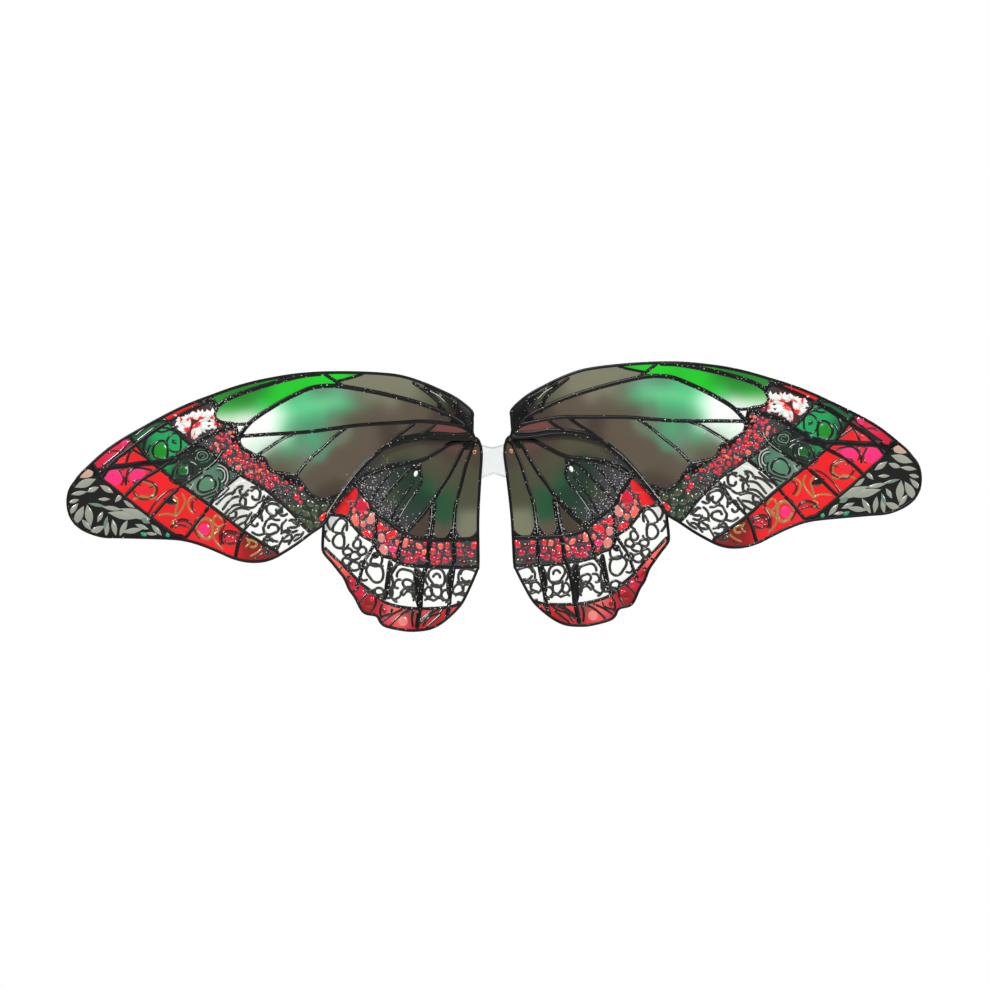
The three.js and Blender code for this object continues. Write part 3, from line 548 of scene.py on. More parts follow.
class Wing:
    """One wing's panes, and quick answers about its drawing."""

    def __init__(self, margin, lines, paint):
        self.margin = smooth(margin, 2.0, closed=True)
        self.lines = [(LEAD_WIDTH * width, glints, smooth(points)) for width, *glints, points in lines]
        self.paint = paint
        self.walls = kdtree.KDTree(sum(len(line) for *_, line in self.lines) + len(self.margin))
        self.half_widths = []
        for width, _, line in [*self.lines, (MARGIN_WIDTH, (), self.margin)]:
            for point in line:
                self.walls.insert((point.x, point.y, 0), len(self.half_widths))
                self.half_widths.append(width / 2)
        self.walls.balance()
        self.cut()

    def room(self, x, y):
        """Free distance from a place to the nearest edge of the leading."""
        _, index, distance = self.walls.find((x, y, 0))
        return distance - self.half_widths[index]

    def cut(self):
        corners = list(self.margin)
        seams = [(i, (i + 1) % len(corners)) for i in range(len(corners))]
        for _, _, line in self.lines:
            first = len(corners)
            corners.extend(line)
            seams.extend((first + i, first + i + 1) for i in range(len(line) - 1))
        low = (min(p.x for p in self.margin), min(p.y for p in self.margin))
        high = (max(p.x for p in self.margin), max(p.y for p in self.margin))
        for row in range(int((high[1] - low[1]) / GRID) + 1):
            for column in range(int((high[0] - low[0]) / GRID) + 1):
                x = low[0] + (column + 0.5 * (row % 2)) * GRID
                y = low[1] + row * GRID
                if self.walls.find((x, y, 0))[2] > 0.8 * GRID:
                    corners.append(Vector((x, y)))
        corners, edges, faces, _, edge_origins, _ = geometry.delaunay_2d_cdt(corners, seams, [], 1, 0.01)
        self.corners = [Vector(c) for c in corners]
        self.faces = [tuple(f) for f in faces]
        closed = {frozenset(edge) for edge, origin in zip(edges, edge_origins) if origin}
        beside = {}
        for index, face in enumerate(self.faces):
            for a, b in zip(face, face[1:] + face[:1]):
                beside.setdefault(frozenset((a, b)), []).append(index)
        self.beside = beside
        self.pane = [-1] * len(self.faces)
        count = 0
        for start in range(len(self.faces)):
            if self.pane[start] >= 0:
                continue
            waiting = [start]
            self.pane[start] = count
            while waiting:
                face = self.faces[waiting.pop()]
                for a, b in zip(face, face[1:] + face[:1]):
                    side = frozenset((a, b))
                    if side in closed:
                        continue
                    for other in beside[side]:
                        if self.pane[other] < 0:
                            self.pane[other] = count
                            waiting.append(other)
            count += 1
        self.count = count
        self.share_out()

    def share_out(self):
        """Give every pane the spots of colour that lie in it, and the film they belong to."""
        centres = kdtree.KDTree(len(self.faces))
        for index, face in enumerate(self.faces):
            middle = sum((self.corners[c] for c in face), Vector((0, 0))) / 3
            centres.insert((middle.x, middle.y, 0), index)
        centres.balance()
        self.centres = centres
        spots = [(film, x, y, name, glitter) for film, paints in self.paint.items()
                 for (name, glitter), places in paints.items() for x, y in places]
        self.spots_in = [[] for _ in range(self.count)]
        for spot in spots:
            self.spots_in[self.pane_at(spot[1], spot[2])].append(spot)
        self.film_of = []
        for number in range(self.count):
            if not self.spots_in[number]:
                member = self.pane.index(number)
                middle = sum((self.corners[c] for c in self.faces[member]), Vector((0, 0))) / 3
                nearest = min(spots, key=lambda spot: (spot[1] - middle.x) ** 2 + (spot[2] - middle.y) ** 2)
                self.spots_in[number] = [nearest]
            films = [spot[0] for spot in self.spots_in[number]]
            self.film_of.append(max(dict.fromkeys(films), key=films.count))

    def pane_at(self, x, y):
        for _, index, _ in self.centres.find_n((x, y, 0), 12):
            a, b, c = (self.corners[k] for k in self.faces[index])
            if geometry.intersect_point_tri_2d(Vector((x, y)), a, b, c):
                return self.pane[index]
        return self.pane[self.centres.find((x, y, 0))[1]]

    def colour_at(self, number, x, y):
        """Blend a pane's spots by how near they are."""
        total = 0.0
        mix = [0.0] * 4  # blended as the eye sees them, not as light adds
        for _, sx, sy, name, glitter in self.spots_in[number]:
            apart = (sx - x) ** 2 + (sy - y) ** 2
            weight = math.exp(-apart / (2 * BLEND_REACH ** 2)) + FAINT_PULL / (1 + apart / FAINT_REACH ** 2)
            total += weight
            for k, value in enumerate(PALETTE[name]):
                mix[k] += weight * value ** EYE
            mix[3] += weight * glitter
        return [(value / total) ** (1 / EYE) for value in mix[:3]] + [mix[3] / total]


fore = Wing(FORE_MARGIN, FORE_DIVIDERS + FORE_VEINS, FORE_PAINT)
hind = Wing(HIND_MARGIN, HIND_DIVIDERS + HIND_VEINS, HIND_PAINT)
print("forewing panes", fore.count, "hindwing panes", hind.count)


# %% [markdown]
# ## Glass that swells between its leading
# Dipped film dries tight to its wires and bellies out between them, which is what catches the light.
# Each point of a pane rises with its distance from the leading, quickly at first and then hardly at
# all. Under the pebbles and scrolls the film stays flat.

# %% Panes into relief
CUSHION = 0.75  # height of a pane's belly in millimetres
FLAT_EDGE = 1.5  # width of the flat strip beside a seam
BELLY_REACH = 5  # how far from there the belly is mostly up


def lay_panes(relief, wing, film):
    """Add a film's panes to a relief. The cells' panes swell, the other films lie flat."""
    swell = CUSHION if film == "cells" else 0.0
    placed = {}
    border = {}
    for index, face in enumerate(wing.faces):
        number = wing.pane[index]
        if wing.film_of[number] != film:
            continue
        skin = []
        for corner in face:
            key = (number, corner)
            if key not in placed:
                x, y = wing.corners[corner]
                reach = max(0.0, wing.walls.find((x, y, 0))[2] - FLAT_EDGE)
                *tint, glitter = wing.colour_at(number, x, y)
                placed[key] = relief.add(x, y, swell * (1 - math.exp(-reach / BELLY_REACH)), tint, glitter)
            skin.append(placed[key])
        relief.faces.append(tuple(skin))
        for a, b in zip(face, face[1:] + face[:1]):
            neighbours = [k for k in wing.beside[frozenset((a, b))] if k != index]
            if not neighbours or wing.film_of[wing.pane[neighbours[0]]] != film:
                border[(placed[(number, a)], placed[(number, b)])] = True
    relief.walls.extend(border)
    return len(placed)


print("panes are laid by film")


# %% [markdown]
# ## Motifs: rings, scrolls, leaves and pebbles
# The bands nearer the margins are filled with motifs: red pebbles like a stained-glass beach, green rings,
# white scrollwork, red panes with gold wire, and black and silver leaves at the tip. Each motif is a
# bead or a dome, so a few small helpers draw them all.

# %% Lines, rings and curls
LINE_HEIGHT = 0.75
DOME_HEIGHT = 1.15


def inside(outline, point):
    """Whether a point lies within an outline, by counting the edges that a line to its right crosses."""
    crossings = 0
    for a, b in zip(outline, outline[1:] + outline[:1]):
        if (a.y > point.y) != (b.y > point.y):
            crossings += a.x + (point.y - a.y) / (b.y - a.y) * (b.x - a.x) > point.x
    return crossings % 2 == 1


def trimmed(wing, line):
    """The stretches of a line that lie on the wing."""
    runs = [[]]
    for point in line:
        if inside(wing.margin, point):
            runs[-1].append(point)
        elif runs[-1]:
            runs.append([])
    return [run for run in runs if len(run) > 2]


def stroke(relief, points, width, colour, glitter=0.0, height=LINE_HEIGHT):
    for run in trimmed(relief.wing, smooth(points, 1.3)):
        relief.bead(run, width, height, PALETTE[colour], glitter)


def ring(relief, centre, radius, width, colour, start=0.0, sweep=360.0, height=LINE_HEIGHT, **shape):
    """A ring or curl of squeezed enamel, a little oval and lobed, as a hand draws it."""
    middle = Vector(centre)
    turn = 0.7 * middle.x + 1.3 * middle.y
    line = []
    for point in arc(centre, radius, start, sweep, **shape):
        angle = math.atan2(point.y - middle.y, point.x - middle.x)
        lobe = 0.13 * math.sin(2 * angle + turn) + 0.06 * math.sin(3 * angle - turn)
        line.append(middle + (1 + lobe) * (point - middle))
    whole = abs(sweep) >= 360 and "shrink" not in shape
    runs = trimmed(relief.wing, line)
    for run in runs:
        relief.bead(run, width, height, PALETTE[colour], 0.0, closed=whole and len(run) == len(line))


print("lines stand", LINE_HEIGHT, "mm high")


# %% Leaves, petals and drawn pebbles
def almond(centre, length, width, angle, steps=7):
    """The outline of a leaf or petal, anticlockwise from its base."""
    lower = []
    for k in range(steps):
        bulge = math.sin(math.pi * k / steps) ** 1.1
        lower.append((length * (k / steps - 0.5), -0.55 * width * bulge))
    upper = [(-x, -y) for x, y in lower]
    return [turned(centre, x, y, math.radians(angle)) for x, y in lower + upper]


def leaf(relief, centre, length, width, angle, colour, glitter=0.0, height=DOME_HEIGHT * 0.7):
    relief.pebble(almond(centre, length, width, angle), height, PALETTE[colour], glitter)


def shard(relief, corners, colour, glitter=0.0, height=DOME_HEIGHT):
    """A pebble with drawn corners, given anticlockwise."""
    relief.pebble(smooth(corners, 2.0, closed=True), height, PALETTE[colour], glitter)


print("domes stand", DOME_HEIGHT, "mm high")

# %% Strewn pebbles
ZONE_REACH = 25  # how far around the zones' places pebbles are tried
LEAST_ROOM = 0.62  # share of a pebble's radius that must be clear of the leading
PEBBLE_GAP = 0.05


def stone_outline(x, y, radius, draw):
    """A pebble's outline: a slightly long circle that is never quite round."""
    long = draw.uniform(1.0, 1.3)
    turn = draw.uniform(0, math.pi)
    points = []
    for k in range(9):
        angle = 2 * math.pi * k / 9
        reach = radius * draw.uniform(0.9, 1.1)
        px, py = reach * long * math.cos(angle), reach / long * math.sin(angle)
        points.append(turned((x, y), px, py, turn))
    return smooth(points, 1.6, closed=True)


def strew(relief, wing, film, zones, seed, kept_clear=(), tries=14000):
    """Fill a film with pebbles, large ones first. A pebble takes after the nearest zone, which is a place, a
    least and a greatest radius, a glitter and the colours found there."""
    draw = random.Random(seed)
    low = (min(z[0] for z in zones) - ZONE_REACH, min(z[1] for z in zones) - ZONE_REACH)
    high = (max(z[0] for z in zones) + ZONE_REACH, max(z[1] for z in zones) + ZONE_REACH)
    laid = list(kept_clear)
    count = 0
    for attempt in range(tries):
        x = draw.uniform(low[0], high[0])
        y = draw.uniform(low[1], high[1])
        zone = min(zones, key=lambda z: (z[0] - x) ** 2 + (z[1] - y) ** 2)
        small, large, glitter, colours = zone[2:]
        radius = large + (small - large) * attempt / tries
        if wing.room(x, y) < radius * LEAST_ROOM or not inside(wing.margin, Vector((x, y))):
            continue
        if wing.film_of[wing.pane_at(x, y)] != film:
            continue
        if any((px - x) ** 2 + (py - y) ** 2 < (radius + pr + PEBBLE_GAP) ** 2 for px, py, pr in laid):
            continue
        laid.append((x, y, radius))
        tint = PALETTE[draw.choice(colours)]
        tint = tuple(min(1.0, v * draw.uniform(0.8, 1.15)) for v in tint)
        height = DOME_HEIGHT * min(1.0, radius / 2.6)
        relief.pebble(stone_outline(x, y, radius, draw), height, tint, glitter * draw.uniform(0.5, 1.2))
        count += 1
    return count


print("pebbles keep", PEBBLE_GAP, "mm apart")

# %% [markdown]
# ## Filling the forewing's bands
# On the real wing each band is laid by hand over its film: stones first, then rings and scrolls, then gold
# wire and the leaves of the tip. Stones could be placed one by one, but a seeded draw that keeps them
# apart packs them as a hand does. Everything with a clear shape is drawn as one short line or arc.

# %% Panes of all nine films
fore_films = {film: Relief(fore) for film in FORE_PAINT}
hind_films = {film: Relief(hind) for film in HIND_PAINT}
for film, relief in fore_films.items():
    print("forewing", film, lay_panes(relief, fore, film), "points")
for film, relief in hind_films.items():
    print("hindwing", film, lay_panes(relief, hind, film), "points")

# %% Forewing: pebbles and petals next to the cells
beach = fore_films["pebble"]
REDS = ("red", "hot red", "crimson", "rose", "salmon")
fore_stones = strew(beach, fore, "pebble", [
    (300, 3, 1.6, 2.6, 0.05, REDS), (318, -3, 1.5, 2.4, 0.05, REDS), (288, -10, 1.9, 3.4, 0.1, REDS),
    (272, -20, 1.9, 3.5, 0.1, REDS), (285, -27, 1.8, 3.3, 0.1, REDS), (262, -30, 1.5, 2.6, 0.1, REDS),
    (248, -40, 1.5, 2.6, 0.1, REDS), (236, -52, 1.5, 2.4, 0.1, ("crimson", "maroon", "red", "ground")),
    (222, -60, 1.8, 3.6, 0.05, ("dark olive", "hind olive", "crimson", "night green")),
    (208, -72, 2.2, 4.4, 0.0, ("dark olive", "hind olive", "night green", "dark olive")),
    (190, -70, 2.2, 3.8, 0.0, ("dark olive", "hind olive")),
], seed=5, kept_clear=[(190, -81, 4.6), (330, 20, 26), (312, 32, 12), (340, 34, 20)])
shard(beach, [(187, -77), (191, -79), (195, -84), (192, -87), (188, -83)], "red", 0.05)


def clear_of_leading(wing, spot):
    """Whether a place lies in the pebble film and isn't under its leading."""
    return wing.film_of[wing.pane_at(*spot)] == "pebble" and wing.room(*spot) > 0.3


def posy(relief, centre, first, last, count, length, width):
    """A fan of white petals with red between their bases. Petals stop short of the leading."""
    step = (last - first) / (count - 1)
    for k in range(count):
        angle = first + step * k
        heading = math.radians(angle)
        long = length
        while long > 5 and not clear_of_leading(relief.wing, turned(centre, 1.1 * long, 0, heading)):
            long *= 0.88
        middle = turned(centre, 0.62 * long, 0, heading)
        leaf(relief, middle, long, width * 0.9, angle, "white" if k % 3 else "grey white", 0.02, DOME_HEIGHT)
        between = angle + 0.5 * step
        near = turned(centre, 0.28 * length, 0, math.radians(between))
        leaf(relief, near, 0.55 * length, width * 0.55, between, "hot red", 0.0, DOME_HEIGHT * 0.9)


shard(hind_films["cells"], arc((86, -38), 2.4, squash=1.6, turn=20), "white", 0.0, 1.3)
for fan in [
    ((308, 27), 30, 150, 5, 12.0, 5.0), ((321, 27), 25, 125, 5, 11.0, 4.6),
    ((327, 24), 165, 285, 7, 16.0, 5.2), ((333, 27), -10, 110, 5, 11.0, 4.6),
    ((336, 14), 5, 100, 6, 15.0, 4.8), ((331, 11), 130, 240, 4, 10.0, 4.2),
    ((341, 28), -70, 30, 4, 10.0, 4.2), ((304, 22), -60, 40, 4, 9.0, 4.0),
]:
    posy(beach, *fan)
print(fore_stones, "pebbles on the forewing's beach")

# %% Forewing: rings, eye and scrolls
rings = fore_films["ring"]
for centre, radius, width, start, sweep, *colour in [
    ((357, 2), 19.5, 2.6, 35, 130), ((351, 3), 9, 2.3, 0, 360), ((365, -5), 16, 2.4, -150, 190),
    ((366, -5), 9.2, 3.0, 0, 360), ((342, -27), 6.6, 2.2, 0, 360), ((342, -27), 11.0, 2.6, 0, 360),
    ((342, -27), 15.2, 2.2, -160, 130), ((321, -12), 5.2, 1.4, 0, 360, "sage"),
    ((321, -12), 8.4, 1.3, 20, 270, "slate sage"), ((321, -12), 2.4, 1.0, 0, 300, "sage"),
    ((317, -43), 9.2, 2.8, 0, 360), ((317, -43), 13.6, 2.2, 150, 190), ((317, -43), 17.6, 1.8, 165, 110),
    ((303, -33), 5.2, 1.6, 60, 200), ((303, -33), 8.6, 1.6, 75, 180), ((303, -33), 12.0, 1.6, 95, 150),
    ((303, -33), 6.9, 1.2, 70, 190, "grey white"), ((303, -33), 10.3, 1.2, 85, 160, "grey white"),
]:
    ring(rings, centre, radius, width, colour[0] if colour else "black", start, sweep)
leaf(rings, (351, 4), 8, 4.5, 50, "forest")
shard(rings, arc((366, -5), 7.6), "disc green")
shard(rings, arc((342, -27), 5.4), "eye green")
shard(rings, arc((317, -43), 7.8), "grey green")
for width, points in [
    (2.6, [(361, 27), (372, 25), (384, 18.5), (394, 11)]),
    (3.8, [(359, 21), (370, 20), (381, 13), (392, 5)]),
    (3.2, [(375, 15), (382, 7), (384, -2), (379, -11)]),
    (2.4, [(345, 12), (354, 17), (364, 15), (372, 17)]), (3.0, [(340, -8), (352, -15), (362, -17)]),
    (3.2, [(327, -17), (334, -14), (345, -12)]), (2.6, [(356, -38), (360, -28), (368, -25)]),
    (2.0, [(333, -44), (338, -38), (330, -34)]),
]:
    stroke(rings, points, width, "black")
for points in [
    [(312, -22), (316, -27), (321, -31)], [(327, -22), (331, -19), (335, -18)],
    [(338, -22), (337, -27), (338, -32)], [(331, -41), (334, -46), (338, -50)],
    [(309, -12), (312, -7), (317, -4)],
]:
    stroke(rings, points, 1.1, "grey white", 0.3, 0.9)
print(len(rings.points), "points of rings so far")

# %% Forewing: white scrollwork
SCROLL_WIDTH = 3.5
for centre, radius, start, sweep, shrink in [
    ((245, -74), 10.0, 200, -430, 0.3), ((247, -93), 9.0, 20, -400, 0.35),
    ((232, -104), 7.5, 60, 330, 0.35), ((264, -57), 8.0, 40, 330, 0.35),
    ((265, -86), 7.0, 150, -330, 0.35), ((224, -90), 6.5, 40, 300, 0.4), ((279, -64), 6.5, 60, 300, 0.35),
    ((252, -107), 6.0, 200, -300, 0.4), ((233, -76), 6.0, 90, -260, 0.5),
    ((256, -118), 5.0, 40, 250, 0.5), ((291, -77), 6.0, 120, 260, 0.45), ((277, -52), 5.5, 200, 250, 0.5),
]:
    ring(rings, centre, radius, SCROLL_WIDTH, "enamel", start, sweep, shrink=shrink)
for points in [
    [(212, -97), (216, -103), (224, -108)], [(236, -66), (247, -62), (258, -70), (262, -78)],
    [(230, -83), (236, -90), (236, -99)], [(240, -108), (250, -106), (262, -108)],
    [(228, -100), (236, -106), (243, -118)], [(254, -98), (262, -100), (270, -96)],
    [(240, -112), (250, -114), (256, -111)], [(218, -96), (226, -98), (230, -92)],
    [(252, -66), (258, -76), (257, -86)], [(276, -46), (284, -48), (290, -56)],
    [(270, -50), (277, -55), (282, -64)], [(281, -57), (291, -60), (301, -72)],
    [(285, -52), (297, -56), (308, -66)], [(270, -72), (282, -70), (294, -76)],
    [(272, -78), (282, -80), (292, -86)], [(280, -66), (290, -68), (300, -78)],
    [(268, -74), (276, -84), (286, -90)], [(292, -47), (302, -56), (312, -62)],
    [(262, -66), (268, -70), (276, -69)], [(254, -56), (257, -62), (263, -66)],
    [(255, -51), (262, -48), (270, -48)], [(274, -92), (276, -86), (272, -80)],
    [(224, -98), (232, -96), (238, -100)], [(246, -82), (252, -84), (256, -92)],
    [(237, -84), (243, -84), (250, -80)], [(243, -62), (252, -60), (257, -64)],
    [(256, -80), (266, -78), (270, -84)], [(242, -117), (248, -120), (254, -122)],
    [(226, -84), (222, -88), (216, -92)], [(214, -101), (222, -102), (230, -112)],
]:
    stroke(rings, points, SCROLL_WIDTH * 0.9, "enamel")
for centre, length, width, angle in [
    ((283, -43), 9, 2.4, -35), ((289, -41), 9, 2.2, -50), ((277, -41), 8, 2.2, -30),
    ((296, -47), 8, 2.4, -60),
]:
    leaf(rings, centre, length, width, angle, "white", 0.1)
print(len(rings.points), "points with scrolls")

# %% Forewing: red panes, gold wire and the leafy tip
WIRE_SPREAD = 1.3  # how much wider than its wire a line of paint dries
embers = fore_films["red"]
for corners, colour in [
    (arc((392, -31), 8.6), "pink"), (arc((417, -33), 8.2), "pink"), (arc((405, 4), 4.6), "pink"),
    (arc((321, -92), 6.2), "pink"), (arc((292, -103), 3.6), "crimson"),
    (arc((385, -46), 8.8, squash=0.8), "hot red"), (almond((357, -60), 17, 8, 20), "black"),
    (almond((409, -13), 10, 6, -20), "hot red"),
]:
    shard(embers, corners, colour, height=DOME_HEIGHT * 0.8)
for width, colour, points in [
    (2.4, "black", [(397, 8), (409, -4), (420, -13), (430, -20)]),
    (1.8, "maroon", [(408, -5), (418, -4), (424, -7)]),
    (2.2, "black", [(377, -16), (389, -8), (398, -2)]),
    (2.0, "black", [(396, -2), (401, -9), (404, -18)]),
    (2.0, "black", [(374, -27), (385, -24), (396, -24), (404, -32), (405, -42)]),
    (2.0, "maroon", [(405, -24), (411, -25), (407, -34), (410, -42)]),
    (1.7, "maroon", [(421, -22), (425, -27), (433, -30)]),
    (1.8, "gold", [(372, -55), (379, -57), (388, -54), (398, -58)]),
    (1.8, "maroon", [(373, -42), (381, -45), (392, -41)]),
    (2.0, "maroon", [(352, -47), (362, -51), (374, -62), (382, -74)]),
    (1.8, "gold", [(344, -52), (341, -60), (344, -68), (352, -77), (351, -69), (349, -60), (354, -53)]),
    (1.8, "gold", [(351, -77), (360, -74), (371, -75)]),
    (1.8, "gold", [(352, -80), (356, -84), (351, -88)]),
    (2.2, "maroon", [(335, -86), (343, -82), (353, -84), (358, -90)]),
    (1.8, "gold", [(300, -83), (307, -77), (311, -84), (305, -92), (311, -99), (308, -107), (301, -114)]),
    (1.8, "gold", [(296, -86), (303, -89), (309, -94)]),
    (2.2, "maroon", [(302, -76), (298, -86), (304, -98), (303, -110)]),
    (1.8, "gold", [(258, -114), (264, -119), (272, -123)]),
    (2.0, "maroon", [(253, -112), (258, -120), (268, -126)]),
    (1.8, "gold", [(276, -102), (272, -108), (277, -113)]),
]:
    stroke(embers, points, width * WIRE_SPREAD, colour)
for centre, radius, width, start, sweep, colour, shrink in [
    ((385, -47), 12.4, 2.4, 30, 330, "maroon", 0.9), ((385, -47), 10.4, 1.4, 60, 250, "gold", 0.9),
    ((320, -91), 10.0, 2.6, 0, 350, "gold", 0.95), ((320, -91), 13.0, 1.6, -60, 150, "maroon", 1.0),
    ((292, -103), 6.6, 2.6, 0, 350, "maroon", 0.97), ((292, -103), 9.6, 1.8, -40, 190, "black", 1.0),
    ((324, -68), 9.0, 2.0, -50, 130, "maroon", 1.0), ((324, -68), 13.0, 1.8, -40, 110, "gold", 1.0),
    ((345, -93), 7.0, 2.0, 20, 140, "maroon", 1.0), ((345, -95), 13.0, 2.0, 25, 120, "black", 1.0),
    ((269, -110), 6.0, 2.2, 30, 300, "gold", 0.4), ((392, -31), 11.0, 1.8, -40, 120, "maroon", 1.0),
]:
    ring(embers, centre, radius, width * WIRE_SPREAD, colour, start, sweep, shrink=shrink)

tip = fore_films["tip"]
for x, y, length, width, angle, *colour in [
    (446, -27.5, 27, 8, -16, "beige"), (449, -38, 25, 8, -20), (426, -45, 17, 5.5, 32),
    (441, -45, 14, 5, -20), (456, -48.5, 18, 4.5, -8), (429, -56, 13, 3.6, 0), (413, -55, 13, 4.5, -45),
    (446, -73, 24, 8, 82), (457, -73, 24, 8, -62), (463, -66, 18, 5, -48), (462, -57, 12, 4, -15),
    (434, -75, 13, 4.5, -60), (394, -73, 38, 9, 20), (409, -74, 34, 8, 12), (402, -62, 15, 5, 35),
    (385, -80, 13, 6, 35, "sage"), (389, -87, 16, 4.5, 22), (399, -91, 22, 5.5, -8),
    (409, -88, 20, 5.5, -62), (419, -87, 19, 5.5, 80), (427, -89, 17, 4.5, 100), (438, -89, 20, 6.5, 155),
    (449, -83, 16, 5, 50), (373, -91, 17, 5, 48), (379, -95, 13, 3.6, 8), (421, -66, 22, 4.5, 10),
    (437, -62, 20, 3.4, 12, "sage"), (361, -97, 6, 4.5, 80, "teal"), (387, -95.5, 8, 4.5, 30, "teal"),
    (428, -82, 16, 4, -75, "sage"),
]:
    leaf(tip, (x, y), length, width, angle, *(colour or ["leaf grey"]))
print(sum(len(relief.points) for relief in fore_films.values()), "points on a forewing's outer face")

# %% [markdown]
# ## Filling the hindwing's bands
# The hindwing repeats the forewing's kinds of work in narrower bands: a belt of stones with broken shards at
# its outer end, white enamel scrolls, and a red border crossed by dark ribs. The same helpers draw them,
# so only the places and the colours are new.

# %% Hindwing: pebble band and shards
shore = hind_films["pebble"]
for corners, colour, glitter in [
    ([(150, -51), (153, -51), (160, -57), (167, -64), (160, -67), (153, -65)], "red", 0.0),
    ([(160, -68), (168, -66), (174, -73), (179, -80), (174, -82), (163, -81), (161, -75)], "red", 0.0),
    ([(146, -62), (150, -66), (153, -74), (148, -79), (142, -76), (141, -68)], "crimson", 0.0),
    ([(139, -66), (143, -62), (143, -66), (139, -75), (136, -72)], "salmon", 0.2),
    ([(133, -79), (137, -80), (142, -88), (138, -92), (131, -87)], "blush", 0.5),
    ([(124, -92), (129, -90), (134, -96), (131, -101), (124, -99)], "hot red", 0.5),
    ([(136, -102), (142, -97), (149, -101), (146, -107), (138, -108)], "hot red", 0.55),
    ([(110, -99), (118, -101), (121, -107), (115, -109), (108, -104)], "hot red", 0.45),
    ([(119, -118), (125, -114), (129, -120), (124, -127), (120, -124)], "blush", 0.5),
    ([(153, -80), (159, -84), (158, -93), (153, -96), (150, -88)], "salmon", 0.5),
]:
    shard(shore, corners, colour, glitter)
BAND_REDS = ("crimson", "hot red", "red", "pink", "crimson", "rose", "maroon", "salmon", "rose")
hind_stones = strew(shore, hind, "pebble", [
    (30, -125, 1.7, 3.9, 0.02, BAND_REDS), (60, -128, 1.7, 3.6, 0.02, BAND_REDS),
    (90, -124, 1.7, 3.7, 0.02, BAND_REDS), (112, -116, 2.0, 4.3, 0.15, BAND_REDS),
    (126, -104, 2.0, 4.4, 0.3, ("hot red", "salmon", "hot red", "blush")),
    (142, -92, 1.8, 3.6, 0.35, ("hot red", "salmon", "crimson", "blush")),
    (152, -78, 1.6, 3.0, 0.3, ("hot red", "crimson", "salmon")),
    (24, -133, 2.0, 4.4, 0.0, ("dark olive", "maroon")), (172, -72, 1.4, 2.4, 0.3, ("blush", "salmon")),
], seed=8, kept_clear=[
    (157, -59, 8), (168, -75, 9), (147, -70, 7.5), (139, -68, 4), (137, -86, 6), (129, -96, 6),
    (142, -102, 6.5), (114, -104, 6.5), (124, -121, 6), (155, -88, 6.5),
])
print(hind_stones, "pebbles on the hindwing's shore")

# %% Hindwing: scrollwork and border ribs
scroll = hind_films["scroll"]
for centre, radius, start, sweep in [
    ((31, -151), 8.0, 0, 360), ((34, -166), 5.0, 0, 360), ((43, -166), 5.6, 0, 360),
    ((41, -176), 5.0, 20, 300), ((66, -152), 9.6, 0, 360), ((67, -154), 5.0, 20, 160),
    ((57, -172), 5.0, 0, 360), ((67, -167), 6.2, 0, 360), ((76, -168), 4.8, 0, 360),
    ((64, -180), 5.0, 20, 150), ((75, -180), 5.0, 20, 150), ((54, -183), 4.0, 30, 120),
    ((101, -150), 15.0, 0, 180), ((101, -150), 8.6, -10, 200), ((98, -159), 5.6, 0, 360),
    ((108, -158), 5.0, -90, 220), ((99, -172), 5.4, 0, 200), ((99, -172), 10.0, 20, 140),
    ((110, -170), 8.0, -90, 160), ((132, -131), 6.8, 0, 360), ((134, -145), 9.6, 0, 360),
    ((133, -150), 17.0, 200, 120), ((130, -167), 5.2, 0, 360), ((120, -168), 5.0, 0, 360),
    ((140, -160), 6.0, 200, 150), ((173, -109), 7.2, 0, 360), ((171, -94), 8.4, -40, 260),
    ((171, -92), 13.4, -30, 170), ((157, -99), 7.0, 60, 200), ((148, -121), 4.6, 0, 360),
    ((156, -126), 5.0, 0, 360), ((164, -121), 4.4, 0, 360), ((157, -137), 5.4, 0, 360),
    ((165, -132), 4.4, 0, 360), ((153, -113), 4.6, 0, 360), ((182, -103), 6.0, -90, 150),
    ((147, -136), 4.2, 0, 360), ((34, -166), 9.0, 100, 120), ((87, -160), 7.0, -60, 120),
]:
    ring(scroll, centre, radius, 3.2, "enamel", start, sweep)
for points in [
    [(24, -158), (34, -159), (45, -158)], [(38, -143), (42, -150), (42, -158)],
    [(52, -146), (55, -153), (54, -162)], [(60, -160), (66, -163), (74, -160)],
    [(76, -146), (79, -154), (76, -161)], [(90, -147), (90, -160), (95, -170)],
    [(116, -148), (115, -158), (119, -165)], [(104, -164), (108, -172), (116, -176)],
    [(93, -178), (91, -170), (95, -165)], [(124, -138), (128, -138), (139, -137)],
    [(165, -90), (169, -99), (167, -108)], [(178, -99), (172, -101), (166, -101)],
    [(142, -152), (148, -153), (152, -147)], [(162, -112), (166, -118), (172, -117)],
]:
    stroke(scroll, points, 3.0, "enamel")

